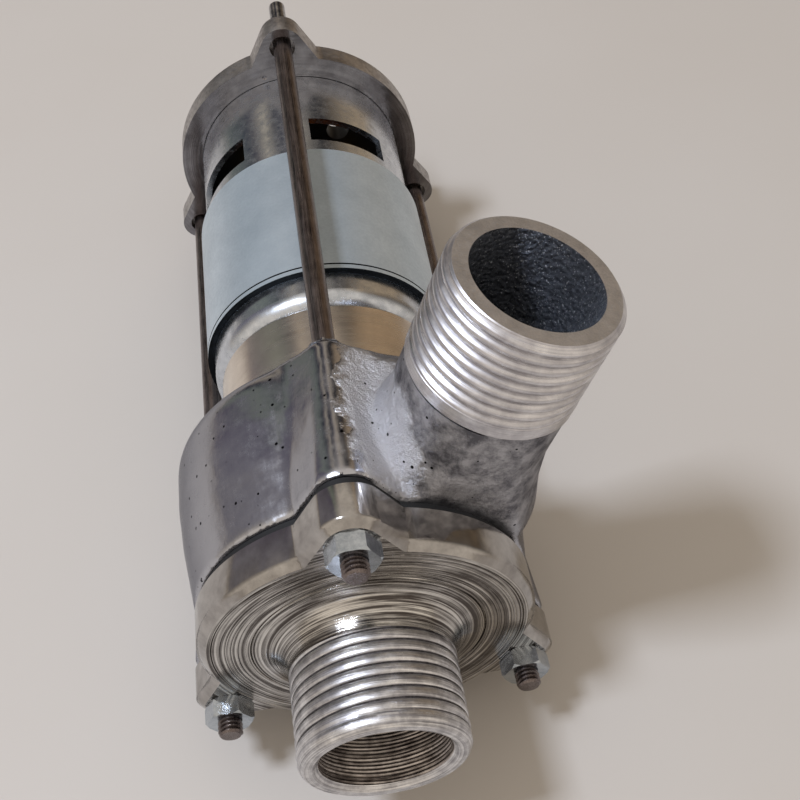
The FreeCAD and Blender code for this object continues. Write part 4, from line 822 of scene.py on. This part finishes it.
@dataclass
class InletCover:
    """The front casting: turned face, concave root and a threaded inlet spigot.

    The spigot's first turns are worn: from the nose to the end of the band they stay below the crest,
    and the grooves between them are filled up to a little less. Grooves of the face are in millimetres:
    radius, width and depth.
    """

    face: float = 19.8 * MM
    rim_r: float = 24.6 * MM
    rim_back: float = 26.5 * MM
    thread_end: float = 15.05 * MM
    bore_r: float = 10.0 * MM
    bore_deep: float = 15.0 * MM
    bore_wall: float = 0.2 * MM
    throat_r: float = 9.3 * MM
    lip: float = 0.8 * MM
    chamfer: float = 0.9 * MM
    nose: Pair = (0.5 * MM, 1.1 * MM)
    fill: Pair = (0.6 * MM, 1.2 * MM)
    worn: float = 0.1 * MM
    filled: float = 0.03 * MM
    band: float = 2.3 * MM
    slope: float = 0.6 * MM
    past: float = 0.3 * MM
    overlap: float = 0.4 * MM
    sunk_r: float = 12.3 * MM
    # How far below the crest the painted shade of the thread's roots starts.
    soiled: float = 0.2 * MM
    tool_marks: Thread = Thread(10.14 * MM, 0.2 * MM, 0.6 * MM, TOOL_MARKS)
    thread: Thread = Thread(13.0 * MM, 0.5 * MM, PIPE_PITCH, WORN_CRESTS)
    grooves: tuple[Triple, ...] = (
        (24.4, 0.2, 0.2), (23.1, 0.06, 0.05), (22.3, 0.05, 0.04), (21.4, 0.08, 0.07), (20.9, 0.05, 0.03),
        (20.3, 0.09, 0.08), (19.6, 0.05, 0.04), (19.1, 0.07, 0.06), (18.35, 0.32, 0.32), (17.9, 0.08, 0.1),
    )

    def spigot(self) -> Piece:
        """Makes the threaded spigot, which runs out inside the concave root."""
        crest = self.thread.crest_r
        end = self.thread_end + self.overlap
        rod = self.thread.rod("inlet_spigot", 0.0, end)
        wide, low = crest + self.past, crest - self.worn
        tip, full = self.nose
        blank = [
            (crest - self.chamfer, 0.0), (low - self.past, tip), (low, full), (low, self.band),
            (wide, self.band + self.slope), (wide, self.thread_end), (self.sunk_r, self.thread_end),
            (self.sunk_r, end),
        ]
        combine(rod, lathe("inlet_blank", blank), Join.KEEP)
        inner = low - self.filled
        tip, full = self.fill
        fill = [(inner - self.past, tip), (inner, full), (inner, self.band)]
        combine(rod, lathe("worn_turns", fill), Join.ADD)
        marks = self.tool_marks.rod("tool_marks", -MM, self.bore_deep + MM)
        combine(marks, bar("bore_length", self.bore_r + MM, -MM, self.bore_deep), Join.KEEP)
        combine(rod, marks, Join.CUT)
        combine(rod, bar("inlet_throat", self.throat_r, -MM, end + MM), Join.CUT)
        bell = [(self.bore_r + self.lip + MM, -MM), (self.bore_r, self.lip)]
        combine(rod, lathe("bell_mouth", bell), Join.CUT)
        return rod

    def build(self, nodes: Nodes, rack: FinishRack) -> Piece:
        """Cuts the plain spigot off a copy of the casting and puts the threaded one in its place."""
        cover = copy_of(nodes["inlet_cover"], "inlet_cover_turned")
        plain = bar("plain_spigot", self.thread.crest_r + MM, -MM, self.thread_end)
        combine(cover, plain, Join.CUT)
        combine(cover, self.spigot(), Join.ADD)
        for radius, width, depth in self.grooves:
            low, high = (radius - width / 2) * MM, (radius + width / 2) * MM
            groove = [
                (low, self.face - MM), (high, self.face - MM), (high, self.face),
                (radius * MM, self.face + depth * MM), (low, self.face),
            ]
            combine(cover, lathe("turned_groove", groove, segments=192, ring=True), Join.CUT)
        smooth_by_angle(cover, seam=self.thread_end, degrees=BUFFED_ROUND)
        round_over(cover)
        radius, along = about(face_centres(cover))
        wall = self.bore_r + self.bore_wall
        # Faces sunk below the crest, from the worn band to the thread's end, get painted shade.
        sunk = (radius < self.thread.crest_r - self.soiled) & (radius > self.sunk_r)
        rack.dress(cover, (
            (TURNED_FACE, None),
            (BUFFED_RIM, (radius > self.rim_r) & (along > self.face + INSIDE) & (along < self.rim_back)),
            (CUT_THREAD, (along < self.thread_end + 2 * INSIDE) & (radius > wall)),
            (BORED_MOUTH, (radius < wall - NEAR) & (along > INSIDE)),
            (THREAD_ROOT, sunk & (along > self.band + NEAR) & (along < self.thread_end - NEAR)),
        ))
        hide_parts("inlet_cover")
        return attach(cover, "housing")


@dataclass
class VoluteCasing:
    """The scroll casting: soft cast outside, machined faces and bores, threaded outlet.

    Each step of the hollow gives the radius of its plug, a little more than the solid's own, and where
    it ends along the pump.
    """

    joint: float = 27.8 * MM
    back: float = 57.0 * MM
    hollow_steps: tuple[Pair, ...] = ((23.7 * MM, 30.2 * MM), (21.6 * MM, 50.8 * MM))
    seal_r: float = 10.9 * MM
    rod_plug_r: float = 2.5 * MM
    plug_spare: float = 0.6 * MM
    chamber_r: float = 23.4 * MM
    grid: float = 0.55 * MM
    softening: int = 9
    soft_step: float = 0.5
    outlet_reach: float = 60.5 * MM
    thread_foot: float = 42.3 * MM
    collar: float = 2.6 * MM
    collar_proud: float = 0.06 * MM
    collar_bevel: float = 0.3 * MM
    collar_lead: Pair = (0.1 * MM, 0.25 * MM)
    chamfer: float = 0.9 * MM
    past: float = 0.3 * MM
    undercut_r: float = 12.4 * MM
    undercut: float = 0.3 * MM
    bore_r: float = 9.8 * MM
    bore_from: float = 10.0 * MM
    pipe_r: float = 12.8 * MM
    stub: Pair = (4.0 * MM, 3.0 * MM)
    clear_r: float = 15.0 * MM
    cut_r: float = 20.0 * MM
    facing_r: float = 80.0 * MM
    # How far below the crest the painted shade of the outlet thread's roots starts.
    soiled: float = 0.75 * MM
    thread: Thread = Thread(13.0 * MM, 0.85 * MM, PIPE_PITCH, ROUND_CRESTS)

    def plug(self) -> Piece:
        """Makes the body that fills every hollow of the casting, a little larger than the hollows."""
        start, back = self.joint - self.plug_spare, self.back + self.plug_spare
        chamber, here = [], start
        for radius, end in (*self.hollow_steps, (self.seal_r, back)):
            chamber += [(radius, here), (radius, end)]
            here = end
        filling = lathe("chamber_plug", chamber)
        bore = self.bore_r + self.past
        combine(filling, bar("outlet_plug", bore, 0.0, self.outlet_reach + MM, OUTLET_AXIS), Join.ADD)
        for index in range(ROD_COUNT):
            hole = bar(f"rod_plug_{index}", self.rod_plug_r, start, back, rod_axis(index), 48)
            combine(filling, hole, Join.ADD)
        return filling

    def outlet(self) -> Piece:
        """Makes the threaded end of the outlet with its plain collar."""
        crest, past, bevel = self.thread.crest_r, self.past, self.collar_bevel
        top, foot = self.outlet_reach, self.thread_foot
        rod = self.thread.rod("outlet_spigot", foot, top + self.thread.pitch, OUTLET_AXIS)
        blank = [
            (crest + past, foot), (crest + past, top - self.chamfer - past), (crest - self.chamfer, top)
        ]
        combine(rod, lathe("outlet_blank", blank, OUTLET_AXIS), Join.KEEP)
        proud, end = crest + self.collar_proud, foot + self.collar
        sunk, lead = self.collar_lead
        collar = [
            (crest - sunk, foot), (proud, foot + lead), (proud, end - bevel), (crest - bevel, end)
        ]
        combine(rod, lathe("outlet_collar", collar, OUTLET_AXIS), Join.ADD)
        return rod

    def beyond_foot(self) -> Piece:
        """Makes the body that takes away everything of the outlet beyond the thread's foot."""
        return bar("outlet_end", self.cut_r, self.thread_foot, self.outlet_reach + CLEAR, OUTLET_AXIS)

    def softened(self, casting: Piece, plug: Piece) -> Piece:
        """Fills the casting, takes its threaded end off and rounds what is left as sand casting does."""
        foot = self.thread_foot
        filled = link("filled", casting.data.copy())
        combine(filled, plug, Join.ADD, keep_tool=True)
        combine(filled, self.beyond_foot(), Join.CUT)
        below, above = self.stub
        stub = bar("outlet_stub", self.pipe_r, foot - below, foot + above, OUTLET_AXIS)
        combine(filled, stub, Join.ADD)
        grid = filled.modifiers.new("grid", "REMESH")
        grid.mode = "VOXEL"
        grid.voxel_size = self.grid
        soft = filled.modifiers.new("soft", "SMOOTH")
        soft.factor = self.soft_step
        soft.iterations = self.softening
        baked(filled)
        return filled

    def build(self, nodes: Nodes, rack: FinishRack) -> Piece:
        """Softens the filled casting as sand casting does, then machines it back to its solids."""
        casting = copy_of(nodes["volute_casing"], "volute_casing_cast")
        hollow = self.plug()
        filled = self.softened(casting, hollow)
        combine(hollow, casting, Join.CUT)
        for name, low, high in (
            ("front_face", self.joint - CLEAR, self.joint), ("back_face", self.back, self.back + CLEAR)
        ):
            combine(filled, bar(name, self.facing_r, low, high), Join.CUT)
        combine(filled, self.beyond_foot(), Join.CUT)
        low, high = self.thread_foot - self.undercut, self.thread_foot + MM
        undercut = [
            (self.undercut_r, low), (self.clear_r, low), (self.clear_r, high), (self.undercut_r, high)
        ]
        combine(filled, lathe("undercut", undercut, OUTLET_AXIS, ring=True), Join.CUT)
        combine(filled, self.outlet(), Join.ADD)
        combine(filled, hollow, Join.CUT)
        filled.name = "volute_casing_cast"
        smooth_by_angle(filled, (PUMP_AXIS, OUTLET_AXIS))
        self.dress(filled, rack)
        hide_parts("volute_casing")
        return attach(filled, "housing")

    def dress(self, casting: Piece, rack: FinishRack) -> None:
        """Gives each face of the casting its finish, by where it lies on the outlet and in the pump."""
        centres = face_centres(casting)
        radius, along = about(centres, OUTLET_AXIS)
        pump_radius, pump_along = about(centres)
        foot, top = self.thread_foot, self.outlet_reach
        outside = along > foot - NEAR
        # The roots of the outlet's thread get painted shade.
        root = (radius < self.thread.crest_r - self.soiled) & (radius > self.bore_r + MM)
        root &= (along < top - MM) & (along > foot + self.collar + NEAR)
        mouth = along > top - 2 * NEAR
        bore = (radius < self.bore_r + INSIDE) & (along > self.bore_from) & (along < top - INSIDE)
        inside = (pump_radius < self.chamber_r) & ~(outside | mouth | bore)
        inside &= (pump_along < self.back - INSIDE) & (pump_along > self.joint)
        rack.dress(casting, (
            (CAST_SKIN, None), (CUT_THREAD_OUTLET, outside), (CORE_SAND, bore), (TURNED_FACE, inside),
            (SAWN_MOUTH, mouth), (OUTLET_ROOT, root),
        ))


@dataclass
class TieRods:
    """Three long rods of drawn bar with a rolled M4 thread in front and a bright turned tail behind."""

    shank_r: float = 1.84 * MM
    front: float = 14.3 * MM
    shoulder: float = 143.7 * MM
    back: float = 153.5 * MM
    tail_r: float = 1.65 * MM
    threaded: float = 9.0 * MM
    bevel: float = 0.4 * MM
    thread: Thread = Thread(2.0 * MM, 0.38 * MM, 0.7 * MM, SHARP_CRESTS, 40)

    def rod(self, index: int) -> Piece:
        """Makes one rod: a threaded end, a plain middle and the tail."""
        place = rod_axis(index)
        radius, bevel = self.thread.crest_r, self.bevel
        split = self.front + self.threaded
        plain = [
            (self.shank_r, split), (self.shank_r, self.shoulder - bevel / 2), (self.tail_r, self.shoulder),
            (self.tail_r, self.back - bevel), (self.tail_r - bevel, self.back),
        ]
        rod = lathe(f"rod_{index}", plain, place, 40)
        end = self.thread.rod("rod_end", self.front, split + self.thread.pitch, place)
        wide = radius + bevel / 2
        blank = [
            (radius - bevel, self.front), (wide, self.front + bevel * 1.5), (wide, split + bevel / 2)
        ]
        combine(end, lathe("rod_blank", blank, place, 40), Join.KEEP)
        combine(rod, end, Join.ADD)
        return rod

    def build(self, rack: FinishRack) -> Piece:
        """Makes the three rods as one piece."""
        rods = self.rod(0)
        for index in range(1, ROD_COUNT):
            combine(rods, self.rod(index), Join.ADD)
        rods.name = "tie_rods_threaded"
        smooth_by_angle(rods)
        tail = face_centres(rods)[:, 1] > self.shoulder - self.bevel
        rack.dress(rods, ((BLACK_BAR, None), (TAIL_STEEL, tail)))
        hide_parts("tie_rods")
        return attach(rods, "housing")


@dataclass
class ClampRing:
    """The rear ring: ground face towards the motor, rough cast rim and a staking mark at the can.

    The mark is given by where it lies across and up, and by its radius; its bottom is a cone.
    """

    front: float = 138.5 * MM
    rim_r: float = 24.6 * MM
    mark: Pair = (-4.6 * MM, 21.9 * MM)
    mark_r: float = 0.65 * MM
    taper: float = 0.8

    def build(self, nodes: Nodes, rack: FinishRack) -> Piece:
        """Punches the mark into a copy of the ring and gives its faces their finishes."""
        ring = copy_of(nodes["rear_clamp_ring"], "rear_clamp_ring_ground")
        across, up = self.mark
        start, tip = self.front - 2 * self.mark_r, self.mark_r * self.taper
        cone = [(self.mark_r, start), (tip, self.front), (0.0, self.front + tip)]
        punch = lathe("punch", cone, Axis((across, 0.0, up), PUMP_AXIS.turn), 24)
        combine(ring, punch, Join.CUT)
        smooth_by_angle(ring, degrees=BUFFED_ROUND)
        round_over(ring)
        radius, along = about(face_centres(ring))
        rim = (radius > self.rim_r) & (along > self.front + INSIDE)
        rack.dress(ring, ((GROUND_FACE, None), (CAST_RIM, rim)))
        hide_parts("rear_clamp_ring")
        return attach(ring, "housing")


@dataclass
class FluxRing:
    """The strip round the can: satin plating, with painted shade in a dark line at its sheared front edge.
    """

    front: float = 80.0 * MM
    outer_r: float = 22.45 * MM
    # How far back from the front the painted shade line reaches.
    line: float = 1.5 * MM

    def build(self, nodes: Nodes, rack: FinishRack) -> Piece:
        """Gives a copy of the ring its two finishes, by place."""
        ring = copy_of(nodes["flux_ring"], "flux_ring_plated")
        smooth_by_angle(ring)
        radius, along = about(face_centres(ring))
        # Faces below the outer surface near the front edge get painted shade, the dark gap line at the can.
        sunk = (radius < self.outer_r - INSIDE) & (along < self.front + self.line)
        rack.dress(ring, ((RING_PLATE, None), (SHEARED_EDGE, sunk)))
        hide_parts("flux_ring")
        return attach(ring, "housing")


@dataclass
class PlainNodes:
    """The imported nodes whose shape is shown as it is, each with its own finish."""

    finishes: tuple[tuple[Finish, str], ...] = (
        (SHEET_GASKET, "cover_gasket"),
        (SEAL_RUBBER, "shaft_seal"),
        (ADAPTER_TURNED, "motor_adapter"),
        (ZINC, "motor_screws front_nuts impeller_nut"),
        (CAN_PLATE, "motor_can"),
        (FERRITE, "magnets"),
        (SPRING_STEEL, "magnet_springs brush_springs"),
        (GROUND_STEEL, "front_bearing_outer_race front_bearing_inner_race front_bearing_balls"),
        (GROUND_STEEL, "rear_bearing_outer_race rear_bearing_inner_race rear_bearing_balls"),
        (GROUND_STEEL, "motor_shaft shaft_coupler"),
        (END_CAP, "motor_end_cap"),
        (PUNCHED_BRASS, "brush_holders terminals"),
        (CARBON, "carbon_brushes"),
        (BLACK_BAR, "grub_screws"),
        (IMPELLER_CAST, "impeller"),
        (LAMINATED, "armature_core"),
        (ENAMELLED_WIRE, "armature_windings"),
        (COMMUTATOR_BAR, "commutator"),
    )

    def build(self, nodes: Nodes, rack: FinishRack) -> None:
        """Puts each finish into the material slots of its nodes."""
        for finish, names in self.finishes:
            for name in names.split():
                for slot in nodes[name].material_slots:
                    slot.material = rack.get(finish)
                LOG.info("%s: %s", name, finish.name)


@dataclass
class Studio:
    """A pale floor, soft light from the upper left and the camera of the photograph.

    The room's bands give the tint at each share of a turn round the pump, and a fade gives the
    direction's forward or upward part at which a wall is still dark and at which it is at its full.
    """

    floor_height: float = -28.6 * MM
    floor_reach: float = 3.0
    floor_tints: tuple[str, str] = ("#C8C3BD", "#C2BBB3")
    floor_clouds: float = 12.0
    key_place: Triple = (-0.34, 0.015, 0.75)
    key_aim: Triple = (0.0, 60 * MM, 0.0)
    key_size: float = 0.14
    key_power: float = 4.7
    key_tint: str = "#E4EEFF"
    eye: Vector = Vector((2.9, -64.5, 161.8)) * MM
    right: Vector = Vector((0.9873, -0.1457, -0.0627))
    up: Vector = Vector((0.1525, 0.7628, 0.6283))
    ahead: Vector = Vector((0.0437, 0.6299, -0.7754))
    lens: float = 51.58
    sensor: float = 36.0
    shift: Pair = (-0.002, -0.003)
    clip: float = 5 * MM
    strength: float = 0.88
    front_wall: str = "#EADFD2"
    front_fade: Pair = (0.4, -0.3)
    ceiling: str = "#E8DED2"
    ceiling_fade: Pair = (0.7, 0.85)
    room_bands: tuple[tuple[float, str], ...] = (
        (0.0, "#6B6259"), (0.08, "#2C2A2C"), (0.16, "#8D7F6D"), (0.3, "#CFC3B4"), (0.45, "#A39580"),
        (0.53, "#2A2A2F"), (0.6, "#8F7C66"), (0.645, "#B59E82"), (0.68, "#3A3634"), (0.705, "#22252D"),
        (0.735, "#9D9183"), (0.75, "#C9BBA6"), (0.77, "#7A7376"), (0.782, "#242A37"), (0.803, "#2E3140"),
        (0.812, "#CDBFA9"), (0.822, "#B5AA99"), (0.83, "#3C3446"), (0.845, "#2A303C"), (0.86, "#787E76"),
        (0.872, "#8E9387"), (0.885, "#625A6A"), (0.92, "#8A868C"), (1.0, "#6B6259"),
    )

    def floor(self) -> None:
        """Lays the floor, a large plane with a faint unevenness of tone."""
        reach = self.floor_reach
        corners = [(-reach, -reach, 0), (reach, -reach, 0), (reach, reach, 0), (-reach, reach, 0)]
        mesh = bpy.data.meshes.new("floor")
        mesh.from_pydata(corners, [], [[0, 1, 2, 3]])
        ground = link("floor", mesh)
        ground.location.z = self.floor_height
        material, add = new_material("painted_table_top")
        where = add("TexCoord")
        uneven = {"Scale": self.floor_clouds, "Detail": 3.0}
        clouds = add("TexNoise", uneven, {"Vector": where.outputs["Object"]})
        tone = add("Mix", {"data_type": "RGBA", (6, 7): self.floor_tints}, {0: clouds})
        shader = add("BsdfPrincipled", {"Roughness": 0.6}, {"Base Color": tone.outputs[2]})
        add("OutputMaterial", links={0: shader})
        mesh.materials.append(material)

    def room(self) -> None:
        """Lights the world: a dim room with thin pale bands behind the pump, and a bright wall in front."""
        world = bpy.data.worlds.new("room")
        bpy.context.scene.world = world
        world.use_nodes = True
        world.node_tree.nodes.clear()
        add = partial(add_node, world.node_tree)
        where = add("TexCoord")
        parts = add("SeparateXYZ", links={0: where.outputs["Generated"]})
        bearing = add("Math", {"operation": "ARCTAN2"}, {0: parts.outputs[1], 1: parts})
        share = add("MapRange", {FROM: (-math.pi, math.pi)}, {"Value": bearing})
        bands = add("ValToRGB", links={0: share})
        ramp = bands.color_ramp
        while len(ramp.elements) < len(self.room_bands):
            ramp.elements.new(0.5)
        for element, (place, code) in zip(ramp.elements, self.room_bands):
            element.position = place
            element.color = to_linear(code)
        near = add("MapRange", {FROM: self.front_fade}, {"Value": parts.outputs[1]})
        walls = add("Mix", {"data_type": "RGBA", 7: self.front_wall}, {0: near, 6: bands})
        above = add("MapRange", {FROM: self.ceiling_fade}, {"Value": parts.outputs[2]})
        sky = add("Mix", {"data_type": "RGBA", 7: self.ceiling}, {0: above, 6: walls.outputs[2]})
        light = add("Background", {"Strength": self.strength}, {0: sky.outputs[2]})
        add("OutputWorld", links={0: light})

    def key_light(self) -> None:
        """Hangs a square soft light that faces the pump."""
        lamp = bpy.data.lights.new("key", "AREA")
        lamp.size = self.key_size
        lamp.energy = self.key_power
        lamp.color = to_linear(self.key_tint)[:3]
        holder = link("key", lamp)
        holder.location = self.key_place
        way = Vector(self.key_aim) - holder.location
        holder.rotation_euler = way.to_track_quat("-Z", "Y").to_euler()

    def camera(self) -> None:
        """Sets the camera where the photograph was taken from."""
        lens = bpy.data.cameras.new("camera")
        lens.lens = self.lens
        lens.sensor_width = self.sensor
        lens.shift_x, lens.shift_y = self.shift
        lens.clip_start = self.clip
        view = link("camera", lens)
        turn = Matrix((self.right, self.up, -self.ahead)).transposed().to_4x4()
        view.matrix_world = Matrix.Translation(self.eye) @ turn
        bpy.context.scene.camera = view

    def build(self) -> None:
        """Sets the whole stage."""
        self.floor()
        self.room()
        self.key_light()
        self.camera()
        bpy.context.scene.view_settings.view_transform = "Standard"


def main() -> None:
    logging.basicConfig(level=logging.INFO, format="%(name)s: %(message)s")
    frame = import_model()
    nodes = frame["nodes"]
    rack = FinishRack()
    Studio().build()
    PlainNodes().build(nodes, rack)
    jobs: tuple[tuple[str, Callable[[], Piece]], ...] = (
        ("inlet cover", lambda: InletCover().build(nodes, rack)),
        ("volute casing", lambda: VoluteCasing().build(nodes, rack)),
        ("tie rods", lambda: TieRods().build(rack)),
        ("clamp ring", lambda: ClampRing().build(nodes, rack)),
        ("flux ring", lambda: FluxRing().build(nodes, rack)),
    )
    for label, job in jobs:
        piece = job()
        LOG.info("%s: %d faces", label, len(piece.data.polygons))


if __name__ == "__main__":
    main()
